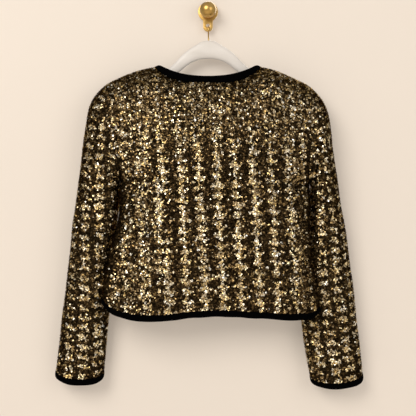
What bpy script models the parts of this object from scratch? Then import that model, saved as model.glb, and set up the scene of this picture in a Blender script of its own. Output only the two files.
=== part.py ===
"""A cropped, collarless jacket on its hanger and wall hook, in metres.

+Z is up and the wall is the plane y = 0, with the wall hook's rear face on it. The jacket's back faces
-Y and its front faces the wall. The origin is on the hook's rear face, behind the middle of its knob.
Left and right are as seen from behind the jacket, with left at -X.
"""

import math

import bmesh
import bpy
import numpy as np

# Cloth and seams
WALL = 0.0018
SEAM_GAP = 0.0005
HANGER_PLANE_Y = -0.028

# Back and front of the body. "down" runs from 0 at the shoulder and neck to 1 at the hem binding.
# down: share of the way; left, right: x of the armhole or side edge; back: y of the centre back;
# side_left, side_right: y of the side edge, which counts from the underarm down.
BODY_COLUMNS = ("down", "left", "right", "back", "side_left", "side_right")
BODY_ROWS = (
    (0.00, -0.197, 0.197, -0.080, -0.043, -0.044),
    (0.09, -0.197, 0.201, -0.088, -0.043, -0.044),
    (0.18, -0.193, 0.201, -0.093, -0.043, -0.044),
    (0.30, -0.183, 0.197, -0.097, -0.043, -0.044),
    (0.39, -0.172, 0.193, -0.099, -0.043, -0.044),
    (0.455, -0.167, 0.191, -0.100, -0.043, -0.044),
    (0.55, -0.1675, 0.1925, -0.101, -0.049, -0.053),
    (0.62, -0.171, 0.195, -0.102, -0.054, -0.061),
    (0.73, -0.183, 0.197, -0.103, -0.059, -0.067),
    (0.82, -0.191, 0.199, -0.104, -0.062, -0.070),
    (0.92, -0.199, 0.207, -0.105, -0.064, -0.073),
    (1.00, -0.203, 0.213, -0.106, -0.065, -0.076),
)
UNDERARM = 0.455
ARMHOLE_STEPS = 10
SIDE_STEPS = 10
ARMHOLE_BACK_Y = -0.074
ARMHOLE_FRONT_Y = -0.009
FRONT_Y = -0.009
BACK_ROLL = 0.12
FRONT_ROLL = 0.05
UNDERARM_ROLL = 0.13
YOKE_POWER = 2.2
YOKE_TO = 0.305
SIDE_FOLD_FROM = 0.555
SIDE_FOLD_POWER = 3.0
FOLD_ROUND = 0.04
TUCK_FROM, TUCK_TO = 0.07, 0.33
TUCK_FIRST = 0.2

# Shoulder line and neckline
NECK_HALF = 0.105
NECK_POINT_Z = -0.113
SHOULDER_DROP = {-1: 0.032, 1: 0.0365}
SHOULDER_CURVE = 1.35
BACK_NECK_Z = -0.147
BACK_NECK_POWER = 3.5
BACK_NECK_DEPTH = 0.042
FRONT_NECK_DROP = 0.092
FRONT_NECK_DEPTH = 0.017
FRONT_NECK_Y_POWER = 0.35
FRONT_NECK_Z_POWER = 1.1
FRONT_NECK_SPREAD = 1.5

# Lower edge of the back cloth above its binding: across is -1 at the left side edge and 1 at the right.
HEM_ROWS = (
    (-1.00, -0.5575),
    (-0.92, -0.5735),
    (-0.80, -0.5825),
    (-0.45, -0.5875),
    (-0.20, -0.5820),
    (0.05, -0.5795),
    (0.45, -0.5825),
    (0.80, -0.5855),
    (0.94, -0.5825),
    (1.00, -0.5725),
)
FRONT_HEM_Z = -0.578
FRONT_HEM_REACH = 0.35

# Soft vertical folds of the back: where, how wide, how far they stand towards the viewer at the hem.
BACK_FOLDS = (
    (-0.46, 0.16, 0.006),
    (0.08, 0.20, -0.005),
    (0.72, 0.14, 0.005),
)
BACK_FOLDS_FROM = 0.45

# Princess seams: they leave the armhole and run down to the hem.
PRINCESS_START_STEP = 5
PRINCESS_END = {-1: 0.455, 1: 0.49}
PRINCESS_CURVE = 0.40
TIP_SHARE = 0.08
FRONT_EDGE_HALF = 0.0165

# Places of the panels' columns: shares from one edge to the other
SHOULDER_SHARES = (0.0, 0.035, 0.11, 0.27, 0.50, 0.75)
SIDE_SHARES = (0.0, 0.03, 0.11, 0.26, 0.47, 0.72, 1.0)
NECK_STEPS = 6
EVEN_FROM, EVEN_TO = 0.1, 0.6

# Bindings
BINDING_WIDTH = 0.0125
BINDING_OUT = 0.0013
BINDING_IN = 0.0024
BINDING_ROUND = 0.0015
BINDING_GAP = 0.0003
NECK_BAND_IN = 0.0100
NECK_BAND_POINT_Z = -0.1085
NECK_BAND_BACK_Z = -0.1346
NECK_BAND_BACK_POWER = 2.2
NECK_BAND_BACK_DEPTH = 0.039
NECK_BAND_FRONT_DROP = 0.084
NECK_BAND_FRONT_DEPTH = 0.016

# Sleeves, a row for each section from the armhole to the lower edge of the cuff. The outer point is on
# the sleeve's outer outline and the inner point on its underarm side; y is the section's middle and
# half_depth half its depth; dip is how far the viewer's side of the section hangs below its ends.
SLEEVE_COLUMNS = ("outer_x", "outer_z", "inner_x", "inner_z", "y", "half_depth", "dip")
SLEEVE_ROWS = {
    -1: (
        (-0.197, -0.145, -0.167, -0.333, -0.0415, 0.0325, 0.000),
        (-0.211, -0.160, -0.1695, -0.3350, -0.041, 0.034, 0.000),
        (-0.2225, -0.176, -0.172, -0.337, -0.041, 0.035, 0.000),
        (-0.2315, -0.198, -0.1745, -0.339, -0.040, 0.035, 0.000),
        (-0.2375, -0.232, -0.177, -0.342, -0.040, 0.035, 0.000),
        (-0.243, -0.272, -0.178, -0.346, -0.040, 0.034, 0.001),
        (-0.248, -0.314, -0.180, -0.356, -0.039, 0.033, 0.002),
        (-0.254, -0.362, -0.180, -0.380, -0.038, 0.031, 0.003),
        (-0.2625, -0.418, -0.180, -0.424, -0.037, 0.029, 0.004),
        (-0.269, -0.478, -0.182, -0.482, -0.036, 0.028, 0.006),
        (-0.276, -0.540, -0.188, -0.543, -0.034, 0.026, 0.008),
        (-0.285, -0.608, -0.195, -0.612, -0.032, 0.025, 0.010),
        (-0.292, -0.668, -0.201, -0.672, -0.030, 0.0235, 0.012),
        (-0.298, -0.715, -0.205, -0.719, -0.029, 0.0225, 0.014),
    ),
    1: (
        (0.197, -0.1495, 0.191, -0.342, -0.0415, 0.0325, 0.000),
        (0.211, -0.164, 0.1965, -0.3450, -0.041, 0.034, 0.000),
        (0.224, -0.182, 0.2005, -0.3475, -0.041, 0.035, 0.000),
        (0.2325, -0.205, 0.2025, -0.350, -0.040, 0.035, 0.000),
        (0.238, -0.240, 0.2025, -0.352, -0.040, 0.035, 0.000),
        (0.243, -0.280, 0.2035, -0.356, -0.040, 0.034, 0.001),
        (0.2485, -0.320, 0.2035, -0.366, -0.039, 0.033, 0.002),
        (0.256, -0.368, 0.199, -0.388, -0.037, 0.030, 0.003),
        (0.265, -0.418, 0.1915, -0.428, -0.035, 0.027, 0.004),
        (0.274, -0.478, 0.183, -0.484, -0.034, 0.026, 0.006),
        (0.282, -0.538, 0.179, -0.545, -0.033, 0.025, 0.008),
        (0.290, -0.608, 0.184, -0.616, -0.032, 0.025, 0.010),
        (0.297, -0.668, 0.193, -0.678, -0.030, 0.0235, 0.012),
        (0.303, -0.722, 0.202, -0.726, -0.029, 0.0225, 0.014),
    ),
}
SLEEVE_RINGS = 20
ELBOW_RING = 14
SLEEVE_FIRST_STEP = 0.75
ARMHOLE_FADE = 4.0

# Hanger board: |x|, top z, bottom z. Beyond HANGER_SEAT_FROM its top follows the inside of the shoulders.
HANGER_CENTRE_X = 0.001
HANGER_ROWS = (
    (0.000, -0.0595, -0.0950),
    (0.012, -0.0615, -0.0955),
    (0.027, -0.0700, -0.0990),
    (0.040, -0.0785, -0.1065),
    (0.052, -0.0885, -0.1170),
    (0.066, -0.1035, -0.1290),
    (0.077, -0.1130, -0.1370),
    (0.090, -0.1190, -0.1415),
    (0.105, -0.1212, -0.1430),
    (0.120, -0.1222, -0.1430),
    (0.130, -0.1232, -0.1435),
)
HANGER_SEAT_FROM = 0.130
HANGER_SEAT_GAP = 0.0007
HANGER_HALF_LENGTH = 0.187
HANGER_END_HEIGHT = 0.015
HANGER_HALF_THICKNESS = 0.0055
HANGER_SQUARENESS = 2.4
HANGER_SIDES = 14
HANGER_STATIONS = 47
HANGER_BLEND = 0.02
HANGER_END_ROUND = 0.008
HANGER_END_FIRST = 0.04

# Hanger's wire hook, in the plane x = WIRE_X. It rises from the board, passes through the eye and turns down.
WIRE_X = 0.001
WIRE_RADIUS = 0.0013
WIRE_BEND = 0.006
WIRE_BEND_STEPS = 8
WIRE_TOP_Z = -0.0287
WIRE_STEM = (
    (-0.0280, -0.0592),
    (-0.0278, -0.0560),
    (-0.0262, -0.0515),
    (-0.0235, -0.0470),
    (-0.0205, -0.0425),
    (-0.0186, -0.0385),
)
WIRE_TIP_Z = -0.0400

# Wall hook
PLATE_FRONT_Y = -0.0135
PLATE_REAR_Y = -0.0105
PLATE_RADIUS = 0.0197
TAB_HALF = 0.0093
TAB_BOTTOM_Z = -0.0393
EYE_Z = -0.02705
EYE_RADIUS = 0.00375
BOSS_RADIUS = 0.0135
PLATE_BEVEL = 0.0006
KNOB_RADIUS = 0.0160
KNOB_CENTRE_Y = -0.0315
KNOB_NECK_RADIUS = 0.0065
KNOB_GAP = 0.0003
KNOB_FOOT = ((0.0080, 0.0), (0.0065, -0.0008))
PLATE_STEPS = 28
TAB_STEPS = 12
BOSS_OVERLAP = 0.001
BOSS_SIDES = 28
EYE_SIDES = 16
EYE_REACH = -0.03
KNOB_SIDES = 26
KNOB_STEPS = 12

MATERIALS = {
    "sequin cloth": ((0.115, 0.083, 0.045), 0.45, 0.35),
    "black velvet": ((0.004, 0.004, 0.005), 0.90, 0.0),
    "off-white hanger": ((0.80, 0.72, 0.62), 0.55, 0.0),
    "brass": ((0.62, 0.40, 0.12), 0.25, 1.0),
}


def clear_scene():
    for thing in list(bpy.data.objects):
        bpy.data.objects.remove(thing, do_unlink=True)


def material(name):
    found = bpy.data.materials.get(name)
    if found:
        return found
    colour, roughness, metallic = MATERIALS[name]
    made = bpy.data.materials.new(name)
    made.use_nodes = True
    shader = made.node_tree.nodes["Principled BSDF"]
    shader.inputs["Base Color"].default_value = (*colour, 1.0)
    shader.inputs["Roughness"].default_value = roughness
    shader.inputs["Metallic"].default_value = metallic
    return made


def smooth_step(low, high, value):
    share = min(max((value - low) / (high - low), 0.0), 1.0)
    return share * share * (3 - 2 * share)


def roll(share):
    """A quarter round: 0 at 0, level at 1."""
    rest = 1 - min(max(share, 0.0), 1.0)
    return math.sqrt(1 - rest * rest)


def smooth_table(xs, ys, x):
    """A soft curve through a table's points, by cubic pieces with averaged slopes."""
    i = int(np.clip(np.searchsorted(xs, x) - 1, 0, len(xs) - 2))
    slopes = np.gradient(ys, xs)
    width = xs[i + 1] - xs[i]
    s = (x - xs[i]) / width
    return (
        (2 * s**3 - 3 * s**2 + 1) * ys[i]
        + (s**3 - 2 * s**2 + s) * width * slopes[i]
        + (3 * s**2 - 2 * s**3) * ys[i + 1]
        + (s**3 - s**2) * width * slopes[i + 1]
    )


def body_value(name, down):
    rows = np.array(BODY_ROWS)
    return smooth_table(rows[:, 0], rows[:, BODY_COLUMNS.index(name)], down)


def hem_z(across, back):
    rows = np.array(HEM_ROWS)
    z = smooth_table(rows[:, 0], rows[:, 1], across)
    if back:
        return z
    end = HEM_ROWS[0][1] if across < 0 else HEM_ROWS[-1][1]
    return end + (FRONT_HEM_Z - end) * smooth_step(0, FRONT_HEM_REACH, 1 - abs(across))


def shoulder_z(x):
    """The shoulder line, from the neck point out to the armhole."""
    side = -1 if x < 0 else 1
    end = abs(body_value("left" if side < 0 else "right", 0.0))
    share = max(0.0, (abs(x) - NECK_HALF) / (end - NECK_HALF))
    return NECK_POINT_Z - SHOULDER_DROP[side] * share**SHOULDER_CURVE


def top_edge(across, back):
    """Upper edge of the cloth at down = 0: the shoulder line, and the neckline between the neck points."""
    x = across * abs(body_value("left", 0.0))
    share = abs(x) / NECK_HALF
    if share >= 1 - 1e-9:
        return x, HANGER_PLANE_Y, shoulder_z(x)
    level = math.sqrt(1 - share * share)
    if back:
        z = BACK_NECK_Z + (NECK_POINT_Z - BACK_NECK_Z) * share**BACK_NECK_POWER
        return x, HANGER_PLANE_Y - BACK_NECK_DEPTH * level, z
    z = NECK_POINT_Z - FRONT_NECK_DROP * level**FRONT_NECK_Z_POWER
    return x, HANGER_PLANE_Y + FRONT_NECK_DEPTH * level**FRONT_NECK_Y_POWER, z


def edge_y(down, side, back):
    """y of the armhole edge, and below the underarm of the side edge."""
    name = "side_left" if side < 0 else "side_right"
    if down >= UNDERARM - 1e-9:
        return body_value(name, down)
    low = body_value(name, UNDERARM)
    full = ARMHOLE_BACK_Y if back else ARMHOLE_FRONT_Y
    return low + (full - low) * roll((UNDERARM - down) / UNDERARM_ROLL)


def back_share(down, across):
    """How much of the back's depth is reached across: flat in the yoke, a rounded fold at the sides."""
    yoke = 1 - abs(across) ** YOKE_POWER
    fold = max(0.0, 1 - abs(across) ** SIDE_FOLD_POWER) ** (1 / SIDE_FOLD_POWER)
    blend = smooth_step(YOKE_TO, SIDE_FOLD_FROM, down)
    return yoke + (fold - yoke) * blend


def front_share(across):
    """The front leaves the side edge round, runs behind the edge and then turns to the wall."""
    e = 1 - abs(across)
    return TUCK_FIRST * roll(e / FOLD_ROUND) + (1 - TUCK_FIRST) * smooth_step(TUCK_FROM, TUCK_TO, e)


def back_folds(down, across):
    reach = smooth_step(BACK_FOLDS_FROM, 1.0, down) * (1 - across**4)
    return sum(
        depth * math.exp(-(((across - place) / width) ** 2)) * reach
        for place, width, depth in BACK_FOLDS
    )


def body_point(down, across, back):
    """A point of the cloth's outer surface. The fronts' edges hang straight, whatever the sides do."""
    left, right = body_value("left", down), body_value("right", down)
    centre = (left + right) / 2
    x = centre * (1 if back else across * across) + across * (right - left) / 2
    _, top_y, top_z = top_edge(across, back)
    z = top_z + (hem_z(across, back) - top_z) * down
    side = -1 if across < 0 else 1
    edge = edge_y(down, side, back)
    if back:
        full = edge + (body_value("back", down) - edge) * back_share(down, across)
        full -= back_folds(down, across)
    else:
        full = edge + (FRONT_Y - edge) * front_share(across)
    y = top_y + (full - top_y) * roll(down / (BACK_ROLL if back else FRONT_ROLL))
    return (x, y, z)


def down_steps():
    """Rows of the body: close together at the shoulder and the underarm, even below it."""
    arm = [UNDERARM * (1 - math.cos(math.pi * i / ARMHOLE_STEPS)) / 2 for i in range(ARMHOLE_STEPS + 1)]
    side = [UNDERARM + (1 - UNDERARM) * (i + 1) / SIDE_STEPS for i in range(SIDE_STEPS)]
    return arm + side


def neck_stations(steps, last=0.0, spread=1.0):
    """Shares across from a neck point inwards, even in angle, or closer together at the neck point."""
    reach = NECK_HALF / abs(body_value("left", 0.0))
    turn = math.pi / 2 - math.asin(last / NECK_HALF)
    return [reach * math.cos(turn * (i / steps) ** spread) for i in range(steps + 1)]


def shoulder_stations():
    """Shares across from the armhole to just outside the neck point, close together at the armhole."""
    reach = NECK_HALF / abs(body_value("left", 0.0))
    return [1 - (1 - reach) * share for share in SHOULDER_SHARES]


def princess(down, side):
    """Share across of the princess seam, 1 at the armhole where it starts."""
    start = down_steps()[PRINCESS_START_STEP]
    share = min(max((down - start) / PRINCESS_CURVE, 0.0), 1.0)
    return side * (1 - (1 - PRINCESS_END[side]) * (1 - (1 - share) ** 2))


def back_centre_grid():
    half = shoulder_stations() + neck_stations(NECK_STEPS)
    top = [-a for a in half] + half[-2::-1]
    even = np.linspace(-1, 1, len(top))
    rows = []
    for down in down_steps():
        blend = smooth_step(EVEN_FROM, EVEN_TO, down)
        left, right = princess(down, -1), princess(down, 1)
        row = []
        for place, level in zip(top, even):
            share = place + (level - place) * blend
            row.append(body_point(down, left + (right - left) * (share + 1) / 2, True))
        rows.append(row)
    return np.array(rows)


def back_side_grid(side):
    steps = down_steps()
    rows = []
    for down in steps[PRINCESS_START_STEP:]:
        seam = princess(down, side)
        row = [body_point(down, side + (seam - side) * share, True) for share in SIDE_SHARES]
        rows.append(row if side < 0 else row[::-1])
    grid = np.array(rows)
    grid[0] = grid[0] + (grid[1] - grid[0]) * TIP_SHARE
    return grid


def front_grid(side):
    half = shoulder_stations() + neck_stations(NECK_STEPS, FRONT_EDGE_HALF, FRONT_NECK_SPREAD)
    shares = [side * a for a in half]
    if side < 0:
        shares = shares[::-1]
    return np.array([[body_point(down, a, False) for a in shares] for down in down_steps()])


def armhole_loop(side):
    """The armhole from the shoulder point: down the back and up the front, or the other way on the right."""
    steps = down_steps()[: ARMHOLE_STEPS + 1]
    back = [body_point(down, side, True) for down in steps]
    front = [body_point(down, side, False) for down in steps]
    loop = back + front[-2:0:-1]
    return np.array(loop if side < 0 else loop[:1] + loop[:0:-1])


def sleeve_section(side, place):
    rows = np.array(SLEEVE_ROWS[side])
    index = np.arange(len(rows), dtype=float)
    values = [smooth_table(index, rows[:, i], place) for i in range(len(SLEEVE_COLUMNS))]
    outer_x, outer_z, inner_x, inner_z, y, half, dip = values
    count = 2 * ARMHOLE_STEPS
    ring = []
    for i in range(count):
        angle = math.pi * i / ARMHOLE_STEPS
        along = (1 + math.cos(angle)) / 2
        across = math.sin(angle) * (-1 if side < 0 else 1)
        x = inner_x + (outer_x - inner_x) * along
        z = inner_z + (outer_z - inner_z) * along + dip * across
        ring.append((x, y + half * across, z))
    return np.array(ring)


def sleeve_grid(side):
    """Rings from the armhole to the cuff; the armhole's own shape fades out over the first rings."""
    first = armhole_loop(side) - sleeve_section(side, 0.0)
    last = len(SLEEVE_ROWS[side]) - 1
    cuff_share = cuff_place(side)
    rings = []
    for i in range(SLEEVE_RINGS + 1):
        share = i / SLEEVE_RINGS
        place = cuff_share * last * (SLEEVE_FIRST_STEP * share + (1 - SLEEVE_FIRST_STEP) * share * share)
        fade = max(0.0, 1 - place / ARMHOLE_FADE) ** 2
        rings.append(sleeve_section(side, place) + first * fade)
    return np.array(rings)


def cuff_place(side):
    """Share of the sleeve's table at which its cloth meets the cuff binding."""
    rows = SLEEVE_ROWS[side]
    z = SLEEVE_COLUMNS.index("outer_z")
    step = abs(rows[-1][z] - rows[-2][z])
    return 1 - BINDING_WIDTH / step / (len(rows) - 1)


def unit(vectors):
    return vectors / np.maximum(np.linalg.norm(vectors, axis=-1, keepdims=True), 1e-12)


def grid_cells(shape, closed):
    rows, columns = shape[0] - 1, shape[1] if closed else shape[1] - 1
    for r in range(rows):
        for c in range(columns):
            yield r, c, (c + 1) % shape[1]


def key_of(point):
    return tuple(np.round(np.asarray(point) * 1e6).astype(int))


def shared_normals(grids):
    """Outward direction at every point, the same for all pieces that meet there."""
    total = {}
    for grid, closed in grids.values():
        for r, c, d in grid_cells(grid.shape, closed):
            a, b = grid[r, c], grid[r, d]
            low, far = grid[r + 1, c], grid[r + 1, d]
            facing = np.cross(far - a, b - low)
            size = np.linalg.norm(facing)
            if size < 1e-12:
                continue
            for point in (a, b, low, far):
                key = key_of(point)
                total[key] = total.get(key, np.zeros(3)) + facing / size
    return {key: value / np.linalg.norm(value) for key, value in total.items()}


def edge_shift(loop, facing, inward):
    """How far each point of a closed edge loop moves to draw the piece back by half a seam gap."""
    ahead = unit(np.roll(loop, -1, axis=0) - loop)
    into = np.cross(ahead, facing) * inward
    before = np.roll(into, 1, axis=0)
    opening = 1 + (into * before).sum(axis=1, keepdims=True)
    return (into + before) / np.maximum(opening, 0.3) * SEAM_GAP / 2


def moved_in(grid, facing, closed):
    """The piece with its edges drawn back by half a seam gap."""
    out = grid.copy()
    if closed:
        out[0] += edge_shift(grid[0], facing[0], 1)
        out[-1] += edge_shift(grid[-1], facing[-1], -1)
        return out
    rows, columns = grid.shape[:2]
    around = [(0, c) for c in range(columns)] + [(r, columns - 1) for r in range(1, rows)]
    around += [(rows - 1, c) for c in range(columns - 2, -1, -1)] + [(r, 0) for r in range(rows - 2, 0, -1)]
    index = tuple(np.array(around).T)
    out[index] += edge_shift(grid[index], facing[index], 1)
    return out


def mesh_object(name, points, faces, look):
    mesh = bpy.data.meshes.new(name)
    mesh.from_pydata([tuple(p) for p in points], [], faces)
    work = bmesh.new()
    work.from_mesh(mesh)
    bmesh.ops.recalc_face_normals(work, faces=work.faces)
    work.to_mesh(mesh)
    work.free()
    mesh.shade_smooth()
    mesh.set_sharp_from_angle(angle=math.radians(40))
    made = bpy.data.objects.new(name, mesh)
    made.data.materials.append(material(look))
    bpy.context.scene.collection.objects.link(made)
    return made


def wall_object(name, outer, inner, closed, look):
    """A closed wall between an outer and an inner grid. Rims are split alike where pieces meet."""
    rows, columns = outer.shape[:2]
    points = np.concatenate([outer.reshape(-1, 3), inner.reshape(-1, 3)])
    shift = rows * columns
    faces = []
    for r, c, d in grid_cells(outer.shape, closed):
        a, b = r * columns + c, r * columns + d
        low, far = a + columns, b + columns
        faces += [(a, low, far), (a, far, b)]
        faces += [(a + shift, far + shift, low + shift), (a + shift, b + shift, far + shift)]
    rim = []
    for c in range(columns if closed else columns - 1):
        d = (c + 1) % columns
        bottom = (rows - 1) * columns
        rim += [(c, d), (bottom + d, bottom + c)]
    if not closed:
        for r in range(rows - 1):
            a, low = r * columns, (r + 1) * columns
            rim += [(low, a), (a + columns - 1, low + columns - 1)]
    for a, b in rim:
        low, high = (a, b) if points[a][2] < points[b][2] else (b, a)
        faces += [(low, high, high + shift), (low, high + shift, low + shift)]
    return mesh_object(name, points, faces, look)


def cloth_piece(name, grid, closed, normals):
    facing = np.array([[normals[key_of(p)] for p in row] for row in grid])
    outer = moved_in(grid, facing, closed)
    return wall_object(name, outer, outer - facing * WALL, closed, "sequin cloth")


def binding(name, near, far, facing, closed):
    """A folded strip along an edge: near runs along the cloth's edge and far along the strip's free edge."""
    near, far, facing = np.array(near), np.array(far), np.array(facing)
    across = far - near
    ends = (near[-1:], near[:1]) if closed else (near[:1] * 2 - near[1:2], near[-1:] * 2 - near[-2:-1])
    line = np.concatenate([ends[0], near, ends[1]])
    square = unit(np.cross(line[2:] - line[:-2], facing))
    square *= np.sign((square * across).sum(axis=1, keepdims=True))
    middle = (BINDING_OUT - BINDING_IN) / 2
    section = (
        (BINDING_GAP, -BINDING_IN, False),
        (BINDING_GAP, BINDING_OUT, False),
        (-BINDING_ROUND, BINDING_OUT, True),
        (0.0, middle + BINDING_OUT / 2, True),
        (0.0, middle - BINDING_OUT / 2, True),
        (-BINDING_ROUND, -BINDING_IN, True),
    )
    rings = np.array(
        [
            near + (across + unit(across) * along if free else square * along) + facing * out
            for along, out, free in section
        ]
    ).transpose(1, 0, 2)
    count, sides = rings.shape[:2]
    faces = []
    for i in range(count if closed else count - 1):
        j = (i + 1) % count
        for k in range(sides):
            m = (k + 1) % sides
            a, b, c, d = i * sides + k, j * sides + k, j * sides + m, i * sides + m
            rises = near[i][2] < near[j][2]
            faces += [(a, b, d), (b, c, d)] if rises else [(a, b, c), (a, c, d)]
    if not closed:
        faces.append(tuple(range(sides)))
        faces.append(tuple(reversed(range((count - 1) * sides, count * sides))))
    return mesh_object(name, rings.reshape(-1, 3), faces, "black velvet")


def extended(points, length):
    """Two ends of a strip carried on past the cloth, level with the wall."""
    points = [np.array(p, dtype=float) for p in points]
    first, last = points[0].copy(), points[-1].copy()
    first[0] += length * np.sign(points[0][0] - points[1][0])
    last[0] += length * np.sign(points[-1][0] - points[-2][0])
    return [first, *points, last]


def neck_far(point, back):
    """The neck binding's free edge above or inside a point of the neckline."""
    share = min(1.0, abs(point[0]) / NECK_HALF)
    level = math.sqrt(max(0.0, 1 - share * share))
    x = math.copysign((NECK_HALF - NECK_BAND_IN) * share, point[0])
    if back:
        rise = (NECK_BAND_POINT_Z - NECK_BAND_BACK_Z) * share**NECK_BAND_BACK_POWER
        return (x, HANGER_PLANE_Y - NECK_BAND_BACK_DEPTH * level, NECK_BAND_BACK_Z + rise)
    z = NECK_BAND_POINT_Z - NECK_BAND_FRONT_DROP * level**FRONT_NECK_Z_POWER
    return (x, HANGER_PLANE_Y + NECK_BAND_FRONT_DEPTH * level**FRONT_NECK_Y_POWER, z)


def facing_at(points, normals):
    return [normals[key_of(p)] for p in points]


def neck_binding(grids, normals):
    reach = len(shoulder_stations())
    back = grids["back_centre"][0][0][reach:-reach]
    left = grids["front_left"][0][0][: -reach]
    right = grids["front_right"][0][0][reach:]
    edge = [*left[:-1], *back, *right[1:]]
    facing = facing_at(edge, normals)
    near = extended(edge, BINDING_WIDTH)
    far = [neck_far(p, False) for p in left[:-1]] + [neck_far(p, True) for p in back]
    far = extended(far + [neck_far(p, False) for p in right[1:]], BINDING_WIDTH)
    binding("neck_binding", near, far, [facing[0], *facing, facing[-1]], False)


def hem_binding(grids, normals):
    names = ("front_left", "back_side_left", "back_centre", "back_side_right", "front_right")
    edge = []
    for name in names:
        row = grids[name][0][-1]
        edge += list(row if not edge else row[1:])
    facing = facing_at(edge, normals)
    near = extended(edge, BINDING_WIDTH)
    far = [p + np.array((0, 0, -BINDING_WIDTH)) for p in near]
    binding("hem_binding", near, far, [facing[0], *facing, facing[-1]], False)


def front_binding(grids, normals, side):
    name = "front_left" if side < 0 else "front_right"
    column = grids[name][0][:, 0 if side < 0 else -1].copy()
    facing = facing_at(column, normals)
    near = column.copy()
    near[0] += unit(column[1] - column[0]) * SEAM_GAP
    near[-1] += unit(column[-2] - column[-1]) * SEAM_GAP
    far = near + np.array((-side * BINDING_WIDTH, 0, 0))
    binding("front_binding_left" if side < 0 else "front_binding_right", near, far, facing, False)


def cuff_binding(grids, normals, side):
    name = "sleeve_left_lower" if side < 0 else "sleeve_right_lower"
    near = grids[name][0][-1]
    far = sleeve_section(side, len(SLEEVE_ROWS[side]) - 1.0)
    facing = facing_at(near, normals)
    binding("cuff_binding_left" if side < 0 else "cuff_binding_right", near, far, facing, True)


def hanger_edges(x):
    """Top and bottom of the board at x."""
    rows = np.array(HANGER_ROWS)
    reach = abs(x)
    if reach <= HANGER_SEAT_FROM:
        return smooth_table(rows[:, 0], rows[:, 1], reach), smooth_table(rows[:, 0], rows[:, 2], reach)
    start = abs(hanger_seat_z(math.copysign(HANGER_SEAT_FROM, x)) - rows[-1, 1])
    fade = 1 - smooth_step(HANGER_SEAT_FROM, HANGER_SEAT_FROM + HANGER_BLEND, reach)
    top = hanger_seat_z(x) - start * fade
    share = (reach - HANGER_SEAT_FROM) / (HANGER_HALF_LENGTH - HANGER_SEAT_FROM)
    height = rows[-1, 1] - rows[-1, 2] + (HANGER_END_HEIGHT - (rows[-1, 1] - rows[-1, 2])) * share
    return top, top - height


def hanger_seat_z(place):
    """Just below the inside of the shoulder cloth, at a place measured from the hanger's middle."""
    x = place + HANGER_CENTRE_X
    slope = (shoulder_z(x + 0.001) - shoulder_z(x - 0.001)) / 0.002
    return shoulder_z(x) - WALL * math.hypot(1, slope) - HANGER_SEAT_GAP


def hanger_board():
    stations = [HANGER_HALF_LENGTH * s for s in np.linspace(-1, 1, HANGER_STATIONS)]
    rings = []
    for place in stations:
        top, bottom = hanger_edges(place)
        middle, half = (top + bottom) / 2, (top - bottom) / 2
        end = roll((HANGER_HALF_LENGTH - abs(place)) / HANGER_END_ROUND + HANGER_END_FIRST)
        ring = []
        for k in range(HANGER_SIDES):
            angle = 2 * math.pi * (k + 0.5) / HANGER_SIDES
            c, s = math.cos(angle), math.sin(angle)
            bend = 2 / HANGER_SQUARENESS
            y = math.copysign(abs(c) ** bend, c) * HANGER_HALF_THICKNESS * end
            z = middle + math.copysign(abs(s) ** bend, s) * half * end
            ring.append((place + HANGER_CENTRE_X, HANGER_PLANE_Y + y, z))
        rings.append(ring)
    rings = np.array(rings)
    count, sides = rings.shape[:2]
    faces = []
    for i in range(count - 1):
        for k in range(sides):
            m = (k + 1) % sides
            faces.append((i * sides + k, (i + 1) * sides + k, (i + 1) * sides + m, i * sides + m))
    faces.append(tuple(range(sides)))
    faces.append(tuple(reversed(range((count - 1) * sides, count * sides))))
    mesh_object("hanger_board", rings.reshape(-1, 3), faces, "off-white hanger")


def hanger_wire():
    middle_y = (PLATE_FRONT_Y + PLATE_REAR_Y) / 2
    route = list(WIRE_STEM)
    for i in range(WIRE_BEND_STEPS + 1):
        angle = math.pi - math.pi * i / WIRE_BEND_STEPS
        route.append(
            (middle_y + WIRE_BEND * math.cos(angle), WIRE_TOP_Z - WIRE_BEND * (1 - math.sin(angle)))
        )
    route.append((middle_y + WIRE_BEND, WIRE_TIP_Z))
    curve = bpy.data.curves.new("hanger_wire", "CURVE")
    curve.dimensions = "3D"
    curve.bevel_depth = WIRE_RADIUS
    curve.bevel_resolution = 2
    curve.use_fill_caps = True
    line = curve.splines.new("POLY")
    line.points.add(len(route) - 1)
    for point, (y, z) in zip(line.points, route):
        point.co = (WIRE_X, y, z, 1.0)
    made = bpy.data.objects.new("hanger_wire", curve)
    made.data.materials.append(material("brass"))
    bpy.context.scene.collection.objects.link(made)


def plate_outline():
    """The plate seen from the front: a disc that runs into a tab with a round end."""
    meet = math.asin(TAB_HALF / PLATE_RADIUS)
    points = []
    for i in range(PLATE_STEPS + 1):
        angle = -math.pi / 2 + meet + (2 * math.pi - 2 * meet) * i / PLATE_STEPS
        points.append((PLATE_RADIUS * math.cos(angle), PLATE_RADIUS * math.sin(angle)))
    centre = TAB_BOTTOM_Z + TAB_HALF
    for i in range(TAB_STEPS + 1):
        angle = math.pi + math.pi * i / TAB_STEPS
        points.append((TAB_HALF * math.cos(angle), centre + TAB_HALF * math.sin(angle)))
    return points


def turned(name, profile, sides, look):
    """A body of revolution about the line x = 0, z = 0: profile holds (radius, y) from end to end."""
    points, faces, rings = [], [], []
    for radius, y in profile:
        if radius < 1e-9:
            rings.append([len(points)])
            points.append((0.0, y, 0.0))
            continue
        rings.append(list(range(len(points), len(points) + sides)))
        points += [
            (radius * math.cos(2 * math.pi * k / sides), y, radius * math.sin(2 * math.pi * k / sides))
            for k in range(sides)
        ]
    for first, second in zip(rings, rings[1:]):
        for k in range(sides):
            m = (k + 1) % sides
            a, b = first[k % len(first)], first[m % len(first)]
            c, d = second[m % len(second)], second[k % len(second)]
            faces.append(tuple(dict.fromkeys((a, d, c, b))))
    return mesh_object(name, points, faces, look)


def rod_profile(radius, end_y):
    return [(0.0, 0.0), (radius, 0.0), (radius, end_y), (0.0, end_y)]


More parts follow.
